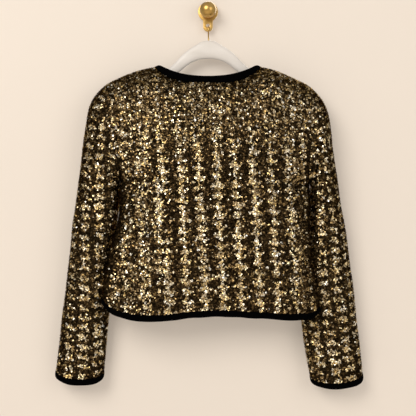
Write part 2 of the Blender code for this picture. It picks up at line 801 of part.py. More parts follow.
def hook_plate():
    """Plate with the eye cut through, standing off the wall on a round boss."""
    outline = plate_outline()
    count = len(outline)
    points = [(x, PLATE_REAR_Y, z) for x, z in outline] + [(x, PLATE_FRONT_Y, z) for x, z in outline]
    faces = [tuple(range(count)), tuple(reversed(range(count, 2 * count)))]
    for i in range(count):
        j = (i + 1) % count
        faces.append((i, j, count + j, count + i))
    plate = mesh_object("hook_plate", points, faces, "brass")
    bevel = plate.modifiers.new("edges", "BEVEL")
    bevel.width = PLATE_BEVEL
    bevel.segments = 1
    bevel.limit_method = "ANGLE"
    boss = turned("boss", rod_profile(BOSS_RADIUS, PLATE_REAR_Y - BOSS_OVERLAP), BOSS_SIDES, "brass")
    hole = turned("eye", rod_profile(EYE_RADIUS, EYE_REACH), EYE_SIDES, "brass")
    hole.location = (0.0, 0.0, EYE_Z)
    for helper, action in ((boss, "UNION"), (hole, "DIFFERENCE")):
        cut = plate.modifiers.new(action.lower(), "BOOLEAN")
        cut.operation = action
        cut.object = helper
        helper.hide_render = True
        helper.display_type = "WIRE"


def hook_knob():
    """Ball on a short neck, seated on the plate."""
    seat = PLATE_FRONT_Y - KNOB_GAP
    meet = math.asin(KNOB_NECK_RADIUS / KNOB_RADIUS)
    profile = [(0.0, seat)] + [(radius, seat + y) for radius, y in KNOB_FOOT]
    for i in range(KNOB_STEPS + 1):
        angle = meet + (math.pi - meet) * i / KNOB_STEPS
        radius = KNOB_RADIUS * math.sin(angle) if i < KNOB_STEPS else 0.0
        profile.append((radius, KNOB_CENTRE_Y + KNOB_RADIUS * math.cos(angle)))
    turned("hook_knob", profile, KNOB_SIDES, "brass")


def main():
    clear_scene()
    grids = {
        "back_centre": (back_centre_grid(), False),
        "back_side_left": (back_side_grid(-1), False),
        "back_side_right": (back_side_grid(1), False),
        "front_left": (front_grid(-1), False),
        "front_right": (front_grid(1), False),
    }
    # Each sleeve is two solids that meet at the elbow, so that its hollow stays open
    for side, word in ((-1, "left"), (1, "right")):
        grid = sleeve_grid(side)
        grids[f"sleeve_{word}_upper"] = (grid[: ELBOW_RING + 1], True)
        grids[f"sleeve_{word}_lower"] = (grid[ELBOW_RING:], True)
    normals = shared_normals(grids)
    for name, (grid, closed) in grids.items():
        cloth_piece(name, grid, closed, normals)
    neck_binding(grids, normals)
    hem_binding(grids, normals)
    for side in (-1, 1):
        front_binding(grids, normals, side)
        cuff_binding(grids, normals, side)
    hanger_board()
    hanger_wire()
    hook_plate()
    hook_knob()


main()
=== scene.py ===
import math

import bmesh
import bpy
import numpy as np
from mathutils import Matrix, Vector
from mathutils.kdtree import KDTree


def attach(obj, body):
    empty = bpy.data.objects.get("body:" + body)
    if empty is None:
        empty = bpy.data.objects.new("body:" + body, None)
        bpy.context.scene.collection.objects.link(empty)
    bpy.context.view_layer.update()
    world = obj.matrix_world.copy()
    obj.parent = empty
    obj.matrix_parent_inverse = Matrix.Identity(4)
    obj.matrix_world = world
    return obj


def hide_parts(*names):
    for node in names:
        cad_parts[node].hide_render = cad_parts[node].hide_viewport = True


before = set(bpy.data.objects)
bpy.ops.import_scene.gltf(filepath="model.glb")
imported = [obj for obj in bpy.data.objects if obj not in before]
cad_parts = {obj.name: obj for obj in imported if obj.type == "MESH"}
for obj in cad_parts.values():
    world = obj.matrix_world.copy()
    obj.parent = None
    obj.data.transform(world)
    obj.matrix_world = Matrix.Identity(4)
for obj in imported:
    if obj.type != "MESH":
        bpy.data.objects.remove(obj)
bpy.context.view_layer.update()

# Metres, +Z up. The wall is the plane y = 0, the jacket's back faces -Y. Left is -X, as seen from behind.
rng = np.random.default_rng(11)


def smoothStep(low, high, value):
    share = np.clip((value - low) / (high - low), 0, 1)
    return share * share * (3 - 2 * share)


def roll(share):  # a quarter round: 0 at 0, level at 1
    return np.sqrt(1 - (1 - np.clip(share, 0, 1)) ** 2)


def smoothTable(xs, ys, x):
    xs, ys = np.asarray(xs, float), np.asarray(ys, float)
    i = np.clip(np.searchsorted(xs, x) - 1, 0, len(xs) - 2)
    slopes = np.gradient(ys, xs)
    width = xs[i + 1] - xs[i]
    s = (x - xs[i]) / width
    return (
        (2 * s**3 - 3 * s**2 + 1) * ys[i]
        + (s**3 - 2 * s**2 + s) * width * slopes[i]
        + (3 * s**2 - 2 * s**3) * ys[i + 1]
        + (s**3 - s**2) * width * slopes[i + 1]
    )


def unit(vectors):
    return vectors / np.maximum(np.linalg.norm(vectors, axis=-1, keepdims=True), 1e-12)


# The jacket's body, on the same form as the solids

body = {
    "columns": ("down", "left", "right", "back", "sideLeft", "sideRight"),
    "rows": (
        (0.00, -0.197, 0.197, -0.080, -0.043, -0.044),
        (0.09, -0.197, 0.201, -0.088, -0.043, -0.044),
        (0.18, -0.193, 0.201, -0.093, -0.043, -0.044),
        (0.30, -0.183, 0.197, -0.097, -0.043, -0.044),
        (0.39, -0.172, 0.193, -0.099, -0.043, -0.044),
        (0.455, -0.1706, 0.1958, -0.100, -0.043, -0.044),
        (0.55, -0.1711, 0.1964, -0.101, -0.049, -0.053),
        (0.62, -0.171, 0.195, -0.102, -0.054, -0.061),
        (0.73, -0.183, 0.197, -0.103, -0.059, -0.067),
        (0.82, -0.191, 0.199, -0.104, -0.062, -0.070),
        (0.92, -0.199, 0.207, -0.105, -0.064, -0.073),
        (1.00, -0.203, 0.213, -0.106, -0.065, -0.076),
    ),
    "underarm": 0.455, "armholeBackY": -0.074, "armholeFrontY": -0.009, "frontY": -0.009,
    "backRoll": 0.12, "frontRoll": 0.05, "underarmRoll": 0.13, "yokePower": 2.2, "yokeTo": 0.305,
    "sideFoldFrom": 0.555, "sideFoldPower": 3.0, "foldRound": 0.04, "tuckFrom": 0.07,
    "tuckTo": 0.33, "tuckFirst": 0.2, "hangerPlaneY": -0.028, "neckHalf": 0.105,
    "neckPointZ": -0.113, "shoulderDropLeft": 0.032, "shoulderDropRight": 0.0365,
    "shoulderCurve": 1.35, "backNeckZ": -0.147, "backNeckPower": 3.5, "backNeckDepth": 0.042,
    "frontNeckDrop": 0.092, "frontNeckDepth": 0.017, "frontNeckYPower": 0.35,
    "frontNeckZPower": 1.1, "frontNeckSpread": 1.5,
    "hemRows": (
        (-1.00, -0.5575), (-0.92, -0.5735), (-0.80, -0.5825), (-0.45, -0.5875), (-0.20, -0.5820),
        (0.05, -0.5795), (0.45, -0.5825), (0.80, -0.5855), (0.94, -0.5825), (1.00, -0.5725),
    ),
    "frontHemZ": -0.578, "frontHemReach": 0.35,
    "backFolds": ((-0.46, 0.16, 0.006), (0.08, 0.20, -0.005), (0.72, 0.14, 0.005)),
    "backFoldsFrom": 0.45, "princessEndLeft": 0.455, "princessEndRight": 0.49,
    "princessCurve": 0.40, "frontEdgeHalf": 0.0165, "evenFrom": 0.1, "evenTo": 0.6,
    "armSteps": 96,       # rows from the shoulder to the underarm
    "sideSteps": 92,      # rows from the underarm to the hem
    "shoulderSteps": 38,  # columns from the armhole to the neck point
    "neckSteps": 34,      # columns from the neck point to the middle
    "sidePanelSteps": 42, "sidePanelPower": 1.4,
}

halfTop = -body["rows"][0][1]


def bodyValue(name, down):
    rows = np.array(body["rows"])
    return smoothTable(rows[:, 0], rows[:, body["columns"].index(name)], down)


def hemZ(across, back):
    rows = np.array(body["hemRows"])
    if back:
        return smoothTable(rows[:, 0], rows[:, 1], across)
    end = np.where(across < 0, rows[0, 1], rows[-1, 1])
    return end + (body["frontHemZ"] - end) * smoothStep(0, body["frontHemReach"], 1 - np.abs(across))


def shoulderZ(x):
    share = np.maximum(0, (np.abs(x) - body["neckHalf"]) / (halfTop - body["neckHalf"]))
    drop = np.where(x < 0, body["shoulderDropLeft"], body["shoulderDropRight"])
    return body["neckPointZ"] - drop * share ** body["shoulderCurve"]


def topEdge(across, back):  # y and z of the shoulder line, and of the neckline between the neck points
    x = across * halfTop
    share = np.abs(x) / body["neckHalf"]
    level = np.sqrt(np.clip(1 - share * share, 0, 1))
    plane = body["hangerPlaneY"]
    if back:
        rise = (body["neckPointZ"] - body["backNeckZ"]) * np.minimum(share, 1) ** body["backNeckPower"]
        z = body["backNeckZ"] + rise
        y = plane - body["backNeckDepth"] * level
    else:
        z = body["neckPointZ"] - body["frontNeckDrop"] * level ** body["frontNeckZPower"]
        y = plane + body["frontNeckDepth"] * level ** body["frontNeckYPower"]
    outside = share >= 1 - 1e-9
    return np.where(outside, plane, y), np.where(outside, shoulderZ(x), z)


def edgeY(down, across, back):  # y of the armhole edge, and of the side edge below the underarm
    def sideY(down):
        return np.where(across < 0, bodyValue("sideLeft", down), bodyValue("sideRight", down))

    low = sideY(body["underarm"])
    full = body["armholeBackY"] if back else body["armholeFrontY"]
    above = low + (full - low) * roll((body["underarm"] - down) / body["underarmRoll"])
    return np.where(down >= body["underarm"] - 1e-9, sideY(down), above)


def bodyPoint(down, across, back):
    left, right = bodyValue("left", down), bodyValue("right", down)
    centre = (left + right) / 2
    x = centre * (1 if back else across * across) + across * (right - left) / 2
    topY, topZ = topEdge(across, back)
    z = topZ + (hemZ(across, back) - topZ) * down
    edge = edgeY(down, across, back)
    e = 1 - np.abs(across)
    if back:
        yoke = 1 - np.abs(across) ** body["yokePower"]
        power = body["sideFoldPower"]
        fold = np.maximum(0, 1 - np.abs(across) ** power) ** (1 / power)
        share = yoke + (fold - yoke) * smoothStep(body["yokeTo"], body["sideFoldFrom"], down)
        full = edge + (bodyValue("back", down) - edge) * share
        reach = smoothStep(body["backFoldsFrom"], 1, down) * (1 - across**4)
        for place, width, depth in body["backFolds"]:
            full = full - depth * np.exp(-(((across - place) / width) ** 2)) * reach
    else:
        first = body["tuckFirst"]
        tuck = smoothStep(body["tuckFrom"], body["tuckTo"], e)
        share = first * roll(e / body["foldRound"]) + (1 - first) * tuck
        full = edge + (body["frontY"] - edge) * share
    y = topY + (full - topY) * roll(down / (body["backRoll"] if back else body["frontRoll"]))
    return np.stack(np.broadcast_arrays(x, y, z), axis=-1)


def downSteps():
    count = body["armSteps"]
    arm = body["underarm"] * (1 - np.cos(np.pi * np.arange(count + 1) / count)) / 2
    side = body["underarm"] + (1 - body["underarm"]) * np.arange(1, body["sideSteps"] + 1) / body["sideSteps"]
    return np.concatenate([arm, side])


# shares across, from the armhole to the neck point and on to the middle
def halfStations(last=0.0, spread=1.0):
    reach = body["neckHalf"] / halfTop
    shoulder = 1 - (1 - reach) * np.arange(body["shoulderSteps"]) / body["shoulderSteps"]
    turn = math.pi / 2 - math.asin(last / body["neckHalf"])
    neck = reach * np.cos(turn * (np.arange(body["neckSteps"] + 1) / body["neckSteps"]) ** spread)
    return np.concatenate([shoulder, neck])


def princess(down, side):  # share across of the princess seam, 1 where it leaves the armhole
    start = body["underarm"] / 2
    end = body["princessEndLeft"] if side < 0 else body["princessEndRight"]
    share = np.clip((down - start) / body["princessCurve"], 0, 1)
    return side * (1 - (1 - end) * (1 - (1 - share) ** 2))


def backCentreGrid():
    half = halfStations()
    top = np.concatenate([-half, half[-2::-1]])
    even = np.linspace(-1, 1, len(top))
    down = downSteps()[:, None]
    share = top + (even - top) * smoothStep(body["evenFrom"], body["evenTo"], down)
    left, right = princess(down, -1), princess(down, 1)
    return bodyPoint(down, left + (right - left) * (share + 1) / 2, True)


def backSideGrid(side):
    down = downSteps()[body["armSteps"] // 2 + 1:]
    # an odd number of rows, so that every second one ends at the hem
    down = np.insert(down, 1, down[:2].mean())[:, None]
    shares = np.linspace(0, 1, body["sidePanelSteps"]) ** body["sidePanelPower"]
    if side > 0:
        shares = shares[::-1]
    return bodyPoint(down, side + (princess(down, side) - side) * shares, True)


def frontGrid(side):
    half = side * halfStations(body["frontEdgeHalf"], body["frontNeckSpread"])
    return bodyPoint(downSteps()[:, None], half[::-1] if side < 0 else half, False)


# The sleeves, a row for each section from the armhole to the cuff

sleeves = {
    # outer x and z, inner x and z, y, half its depth, how far the viewer's side hangs below its ends
    "left": (
        (-0.197, -0.145, -0.167, -0.333, -0.0415, 0.0325, 0.000),
        (-0.211, -0.160, -0.1695, -0.3350, -0.041, 0.034, 0.000),
        (-0.2225, -0.176, -0.172, -0.337, -0.041, 0.035, 0.000),
        (-0.2315, -0.198, -0.1728, -0.339, -0.040, 0.035, 0.000),
        (-0.2375, -0.232, -0.1726, -0.342, -0.040, 0.035, 0.000),
        (-0.243, -0.272, -0.1720, -0.346, -0.040, 0.034, 0.001),
        (-0.248, -0.314, -0.1716, -0.356, -0.039, 0.033, 0.002),
        (-0.254, -0.362, -0.1738, -0.380, -0.038, 0.031, 0.003),
        (-0.2625, -0.418, -0.1785, -0.424, -0.037, 0.029, 0.004),
        (-0.269, -0.478, -0.182, -0.482, -0.036, 0.028, 0.006),
        (-0.276, -0.540, -0.188, -0.543, -0.034, 0.026, 0.008),
        (-0.285, -0.608, -0.195, -0.612, -0.032, 0.025, 0.010),
        (-0.292, -0.668, -0.201, -0.672, -0.030, 0.0235, 0.012),
        (-0.298, -0.715, -0.205, -0.719, -0.029, 0.0225, 0.014),
    ),
    "right": (
        (0.197, -0.1495, 0.191, -0.342, -0.0415, 0.0325, 0.000),
        (0.211, -0.164, 0.1965, -0.3450, -0.041, 0.034, 0.000),
        (0.224, -0.182, 0.2005, -0.3475, -0.041, 0.035, 0.000),
        (0.2325, -0.205, 0.2025, -0.350, -0.040, 0.035, 0.000),
        (0.238, -0.240, 0.1990, -0.352, -0.040, 0.035, 0.000),
        (0.243, -0.280, 0.1973, -0.356, -0.040, 0.034, 0.001),
        (0.2485, -0.320, 0.1968, -0.366, -0.039, 0.033, 0.002),
        (0.256, -0.368, 0.1970, -0.388, -0.037, 0.030, 0.003),
        (0.265, -0.418, 0.1915, -0.428, -0.035, 0.027, 0.004),
        (0.274, -0.478, 0.183, -0.484, -0.034, 0.026, 0.006),
        (0.282, -0.538, 0.179, -0.545, -0.033, 0.025, 0.008),
        (0.290, -0.608, 0.184, -0.616, -0.032, 0.025, 0.010),
        (0.297, -0.668, 0.193, -0.678, -0.030, 0.0235, 0.012),
        (0.303, -0.722, 0.202, -0.726, -0.029, 0.0225, 0.014),
    ),
    "rings": 190, "firstStep": 0.75, "armholeFade": 4.0,
}


def sleeveRows(side):
    return np.array(sleeves["left" if side < 0 else "right"])


def sleeveSection(side, place):
    rows = sleeveRows(side)
    index = np.arange(len(rows), dtype=float)
    outerX, outerZ, innerX, innerZ, y, half, dip = [smoothTable(index, rows[:, i], place) for i in range(7)]
    angle = np.pi * np.arange(2 * body["armSteps"]) / body["armSteps"]
    along, across = (1 + np.cos(angle)) / 2, np.sin(angle) * side
    return np.stack([
        innerX + (outerX - innerX) * along,
        y + half * across,
        innerZ + (outerZ - innerZ) * along + dip * across,
    ], axis=-1)


def cuffPlace(side):  # where along its table a sleeve's cloth meets the cuff's binding
    rows = sleeveRows(side)
    return (len(rows) - 1) * (1 - binding["width"] / abs(rows[-1, 1] - rows[-2, 1]) / (len(rows) - 1))


def sleeveGrid(side):
    down = downSteps()[: body["armSteps"] + 1]
    back, front = bodyPoint(down, float(side), True), bodyPoint(down, float(side), False)
    loop = np.concatenate([back, front[-2:0:-1]])
    if side > 0:
        loop = np.concatenate([loop[:1], loop[:0:-1]])
    first = loop - sleeveSection(side, 0.0)
    share = np.arange(sleeves["rings"] + 1) / sleeves["rings"]
    step = sleeves["firstStep"]
    places = cuffPlace(side) * (step * share + (1 - step) * share * share)
    fade = sleeves["armholeFade"]
    return np.array([sleeveSection(side, p) + first * max(0, 1 - p / fade) ** 2 for p in places])


# Creases: soft troughs and ridges, a row each

creases = {
    # x and z where one starts and ends, how wide it is, how far it stands out (or in, below 0)
    "back": (
        (-0.160, -0.325, -0.105, -0.395, 0.013, -0.0030),
        (-0.165, -0.350, -0.130, -0.450, 0.011, 0.0022),
        (0.184, -0.330, 0.120, -0.405, 0.014, -0.0032),
        (0.186, -0.365, 0.150, -0.455, 0.010, 0.0020),
        (-0.072, -0.430, -0.066, -0.575, 0.015, -0.0022),
        (-0.146, -0.440, -0.172, -0.560, 0.011, -0.0028),
        (0.022, -0.465, 0.034, -0.585, 0.017, 0.0018),
        (0.100, -0.410, 0.118, -0.570, 0.013, -0.0020),
        (0.170, -0.470, 0.188, -0.585, 0.010, 0.0024),
        (-0.150, -0.175, -0.140, -0.255, 0.013, -0.0020),
        (0.158, -0.180, 0.146, -0.265, 0.012, -0.0022),
        (-0.040, -0.205, 0.050, -0.215, 0.016, -0.0012),
    ),
    "front": (
        (-0.150, -0.330, -0.090, -0.400, 0.013, -0.0026),
        (-0.120, -0.420, -0.128, -0.560, 0.014, 0.0020),
        (-0.060, -0.360, -0.066, -0.570, 0.016, -0.0016),
        (0.165, -0.340, 0.100, -0.415, 0.013, -0.0026),
        (0.125, -0.430, 0.138, -0.565, 0.013, 0.0022),
        (0.058, -0.330, 0.062, -0.575, 0.017, -0.0016),
    ),
    # share down the sleeve, share round it from the outer seam by way of the back, half length round,
    # width along, how far out, how it slants
    "sleeve": (
        (0.090, 0.36, 0.12, 0.014, -0.0030, 0.10),
        (0.150, 0.40, 0.10, 0.012, 0.0022, 0.16),
        (0.215, 0.42, 0.13, 0.014, -0.0026, -0.12),
        (0.400, 0.44, 0.12, 0.013, -0.0026, 0.12),
        (0.455, 0.40, 0.15, 0.012, 0.0024, 0.05),
        (0.505, 0.47, 0.13, 0.014, -0.0028, -0.10),
        (0.620, 0.30, 0.14, 0.015, 0.0016, 0.20),
        (0.780, 0.42, 0.12, 0.016, -0.0020, -0.08),
        (0.130, 0.64, 0.12, 0.014, -0.0026, -0.12),
        (0.300, 0.70, 0.13, 0.016, 0.0018, 0.10),
        (0.470, 0.62, 0.14, 0.013, -0.0028, 0.08),
        (0.690, 0.66, 0.12, 0.015, -0.0018, 0.14),
    ),
    "endShare": 0.4,      # of the depth, at both ends
    "seamClear": 0.02, "sleeveLength": 0.57,
    "sleeveClear": 0.06,  # share of the sleeve below the armhole
    "sleeveShift": 0.018, # between the left sleeve's and the right's
    "ripple": 0.0005,
    "rippleWaves": ((70, 13, 1.3), (-21, 55, 0)),  # radians per metre of x and z, and a start
    "seamDip": 0.0009, "seamWidth": 0.0045,
}


def linearLift(grid, rows):
    lift = np.zeros(grid.shape[:2])
    x, z = grid[..., 0], grid[..., 2]
    for x0, z0, x1, z1, width, depth in rows:
        dx, dz = x1 - x0, z1 - z0
        t = np.clip(((x - x0) * dx + (z - z0) * dz) / (dx * dx + dz * dz), 0, 1)
        away = np.hypot(x - x0 - t * dx, z - z0 - t * dz)
        ends = creases["endShare"]
        lift += depth * np.exp(-((away / width) ** 2)) * (ends + (1 - ends) * np.sin(np.pi * t))
    return lift


def sleeveLift(grid, side):
    lift = np.zeros(grid.shape[:2])
    rings, around = grid.shape[:2]
    share = np.linspace(0, 1, rings)[:, None]
    turn = np.arange(around)[None, :] / around
    turn = turn if side < 0 else (1 - turn) % 1
    for row, (place, centre, half, width, depth, slant) in enumerate(creases["sleeve"]):
        place = place + (creases["sleeveShift"] if side > 0 else 0) * (-1) ** row
        off = turn - centre
        near = (share - place - slant * off) * creases["sleeveLength"]
        lift += depth * np.exp(-((near / width) ** 2)) * np.exp(-((off / half) ** 4))
    return lift * smoothStep(0, creases["sleeveClear"], share)


def gridNormals(grid, closed):
    if closed:
        wide = np.concatenate([grid[:, -2:], grid, grid[:, :2]], axis=1)
        dc = np.gradient(wide, axis=1)[:, 2:-2]
    else:
        dc = np.gradient(grid, axis=1)
    return unit(np.cross(np.gradient(grid, axis=0), dc))


def edgeAway(grid, closed):  # distance from each point to the piece's nearest seam
    step = np.linalg.norm(np.diff(grid, axis=0), axis=-1)
    down = np.concatenate([np.zeros((1, grid.shape[1])), np.cumsum(step, axis=0)])
    away = np.minimum(down, down[-1] - down)
    if closed:
        return down
    step = np.linalg.norm(np.diff(grid, axis=1), axis=-1)
    across = np.concatenate([np.zeros((grid.shape[0], 1)), np.cumsum(step, axis=1)], axis=1)
    return np.minimum(away, np.minimum(across, across[:, -1:] - across))


def creased(grid, lift, closed):
    normals = gridNormals(grid, closed)
    x, z = grid[..., 0], grid[..., 2]
    away = edgeAway(grid, closed)
    ripple = np.prod([np.sin(a * x + b * z + start) for a, b, start in creases["rippleWaves"]], axis=0)
    lift = lift * smoothStep(0, creases["seamClear"], away) + creases["ripple"] * ripple
    lift = lift - creases["seamDip"] * np.exp(-((away / creases["seamWidth"]) ** 2))
    return grid + normals * lift[..., None]


def newMaterial(name, **sockets):
    made = bpy.data.materials.new(name)
    made.use_nodes = True
    nodes, links = made.node_tree.nodes, made.node_tree.links
    shader = nodes["Principled BSDF"]
    for socket, value in sockets.items():
        shader.inputs[socket.replace("_", " ")].default_value = value
    return made, nodes, links, shader


def rampNode(nodes, stops):
    ramp = nodes.new("ShaderNodeValToRGB")
    elements = ramp.color_ramp.elements
    while len(elements) < len(stops):
        elements.new(0.5)
    for element, (place, colour) in zip(elements, stops):
        element.position = place
        element.color = (*colour, 1)
    return ramp


def noiseNode(nodes, links, scale, detail=3.0, stretch=(1, 1, 1)):
    place = nodes.new("ShaderNodeTexCoord")
    mapping = nodes.new("ShaderNodeMapping")
    mapping.inputs["Scale"].default_value = stretch
    noise = nodes.new("ShaderNodeTexNoise")
    noise.inputs["Scale"].default_value = scale
    noise.inputs["Detail"].default_value = detail
    links.new(place.outputs["Object"], mapping.inputs["Vector"])
    links.new(mapping.outputs["Vector"], noise.inputs["Vector"])
    return noise


def bumpFrom(nodes, links, shader, noise, strength, distance):
    bump = nodes.new("ShaderNodeBump")
    bump.inputs["Strength"].default_value = strength
    bump.inputs["Distance"].default_value = distance
    links.new(noise.outputs["Fac"], bump.inputs["Height"])
    links.new(bump.outputs["Normal"], shader.inputs["Normal"])


def roughnessFrom(nodes, links, shader, noise, low, high):
    spread = nodes.new("ShaderNodeMapRange")
    spread.inputs["To Min"].default_value = low
    spread.inputs["To Max"].default_value = high
    links.new(noise.outputs["Fac"], spread.inputs["Value"])
    links.new(spread.outputs["Result"], shader.inputs["Roughness"])


def sequinMaterial():
    made, nodes, links, shader = newMaterial(
        "goldAndBronzeSequins", Metallic=1.0, Specular_Tint=(0.55, 0.42, 0.27, 1),
    )
    tone, hue = (nodes.new("ShaderNodeAttribute") for _ in range(2))
    tone.attribute_name, hue.attribute_name = "tone", "hue"
    bronze = (
        (0.00, (0.0030, 0.0018, 0.0008)), (0.20, (0.0220, 0.0132, 0.0055)), (0.42, (0.1050, 0.0620, 0.0240)),
    )
    yellow = rampNode(nodes, bronze + (
        (0.64, (0.4300, 0.2700, 0.0950)), (0.84, (0.8600, 0.6200, 0.2500)), (1.00, (0.9900, 0.8600, 0.5400)),
    ))
    pale = rampNode(nodes, bronze + (
        (0.64, (0.4000, 0.2950, 0.1650)), (0.84, (0.8000, 0.6700, 0.4700)), (1.00, (0.9900, 0.9500, 0.8600)),
    ))
    mix = nodes.new("ShaderNodeMix")
    mix.data_type = "RGBA"
    links.new(hue.outputs["Fac"], mix.inputs["Factor"])
    for ramp, socket in ((yellow, 6), (pale, 7)):  # the mix node's two colour inputs
        links.new(tone.outputs["Fac"], ramp.inputs["Fac"])
        links.new(ramp.outputs["Color"], mix.inputs[socket])
    links.new(mix.outputs[2], shader.inputs["Base Color"])  # and its colour output
    roughnessFrom(nodes, links, shader, noiseNode(nodes, links, 900, 1), 0.22, 0.42)
    return made


def plainMaterial(name, noises, stops, bump, rough=None, **sockets):
    made, nodes, links, shader = newMaterial(name, **sockets)
    clouds = [noiseNode(nodes, links, *noise) for noise in noises]
    ramp = rampNode(nodes, stops)
    links.new(clouds[0].outputs["Fac"], ramp.inputs["Fac"])
    links.new(ramp.outputs["Color"], shader.inputs["Base Color"])
    if rough:
        roughnessFrom(nodes, links, shader, clouds[rough[0]], *rough[1:])
    bumpFrom(nodes, links, shader, clouds[bump[0]], *bump[1:])
    return made


# noises by scale, detail and stretch, two stops of colour over the first of them, then which noise makes
# the bump, its strength and distance, and which makes the roughness, from how much to how much
looks = {
    "sequins": sequinMaterial(),
    "cloth": plainMaterial(
        "darkBackingCloth", ((1400, 2),), ((0.3, (0.010, 0.007, 0.003)), (0.7, (0.055, 0.037, 0.017))),
        (0, 0.5, 0.0006), Roughness=1.0, Specular_IOR_Level=0.0,
    ),
    "velvet": plainMaterial(
        "blackVelvet", ((700, 3),), ((0.35, (0.0004, 0.0004, 0.0005)), (0.75, (0.0024, 0.0023, 0.0025))),
        (0, 0.6, 0.0008), Roughness=0.95, Specular_IOR_Level=0.0, Sheen_Weight=0.004,
    ),
    "hanger": plainMaterial(
        "offWhiteLacquer", ((22, 4, (1, 1, 2.5)), (260, 3)),
        ((0.3, (0.690, 0.630, 0.560)), (0.7, (0.760, 0.700, 0.635))),
        (1, 0.12, 0.0006), (1, 0.38, 0.55), Coat_Weight=0.15, Coat_Roughness=0.3,
    ),
    "brass": plainMaterial(
        "polishedBrass", ((60, 5), (900, 2)), ((0.32, (0.50, 0.290, 0.075)), (0.68, (0.70, 0.450, 0.150))),
        (1, 0.05, 0.0003), (0, 0.26, 0.40), Metallic=1.0,
    ),
}
print("materials made")


def placed(name, data):
    made = bpy.data.objects.new(name, data)
    bpy.context.scene.collection.objects.link(made)
    return made


def plainMesh(holder):  # what its modifiers or its curve make, as a mesh of its own; the holder goes
    depsgraph = bpy.context.evaluated_depsgraph_get()
    mesh = bpy.data.meshes.new_from_object(holder.evaluated_get(depsgraph))
    holder.modifiers.clear()
    bpy.data.objects.remove(holder)
    return mesh


def meshPiece(name, points, faces, look):
    mesh = bpy.data.meshes.new(name)
    mesh.from_pydata(np.asarray(points).tolist(), [], faces)
    mesh.materials.append(looks[look])
    mesh.shade_smooth()
    mesh.validate()
    return placed(name, mesh)


def quads(rows, columns, closed):  # the faces of a grid of points, whose columns meet if it is closed
    r, c = np.divmod(np.arange((rows - 1) * (columns - (not closed))), columns - (not closed))
    d = (c + 1) % columns
    return np.stack([r * columns + c, (r + 1) * columns + c, (r + 1) * columns + d, r * columns + d], axis=-1)


def pointOut(piece, *others, weld=0.0):  # the pieces as one closed form with its faces outwards
    work = bmesh.new()
    for part in (piece, *others):
        work.from_mesh(part.data)
    if weld:
        bmesh.ops.remove_doubles(work, verts=work.verts, dist=weld)
    bmesh.ops.recalc_face_normals(work, faces=work.faces)
    work.to_mesh(piece.data)
    work.free()
    for part in others:
        bpy.data.objects.remove(part)
    return piece


def tube(name, rings, look, closed=False):  # through rings of points, capped unless its ends meet
    count, sides = rings.shape[:2]
    faces = (quads(count + closed, sides, True) % (count * sides)).tolist()
    if not closed:
        faces += [tuple(range(sides)), tuple(reversed(range((count - 1) * sides, count * sides)))]
    return pointOut(meshPiece(name, rings.reshape(-1, 3), faces, look))


cloth = {"wall": 0.0012, "below": 0.0005}  # its thickness, and how far it lies below the sequins' form


def shell(name, grid, closed):
    grid = grid[::2, ::2]
    normals = gridNormals(grid, closed)
    outer = grid - normals * cloth["below"]
    inner = outer - normals * cloth["wall"]
    rows, columns = grid.shape[:2]
    shift, bottom = rows * columns, (rows - 1) * columns
    around = [(c, (c + 1) % columns) for c in range(columns if closed else columns - 1)]
    rim = [(b, a) for a, b in around] + [(bottom + a, bottom + b) for a, b in around]
    if not closed:
        rim += [(r * columns, (r + 1) * columns) for r in range(rows - 1)]
        rim += [((r + 2) * columns - 1, (r + 1) * columns - 1) for r in range(rows - 1)]
    faces, sides = quads(rows, columns, closed), [(b, a, a + shift, b + shift) for a, b in rim]
    faces = np.concatenate([faces, faces[:, ::-1] + shift, sides]).tolist()
    return meshPiece(name, np.concatenate([outer.reshape(-1, 3), inner.reshape(-1, 3)]), faces, "cloth")


sequins = {
    "pitch": 0.0020,      # middle to middle
    "radius": 0.0013, "sides": 6,
    "lift": 0.0003,       # above the cloth
    "liftSpread": 0.0007,
    "tilt": 0.28,         # how far they lean at random
    "hang": 0.16,         # how far their lower edges stand out
    # tones run from 0, near black, to 1, the palest gold: where they start, how far they spread, and the
    # two powers of a beta draw
    "gold": (0.50, 0.50, 1.7, 1.5),
    "dark": (0.02, 0.42, 1.1, 2.3),
    "brown": (0.36, 0.24),  # evenly spread
    "toneSpread": 0.06,   # among the sequins that share a tone
    "huePowers": (0.8, 0.8),
    "hueSpread": 0.12,
}

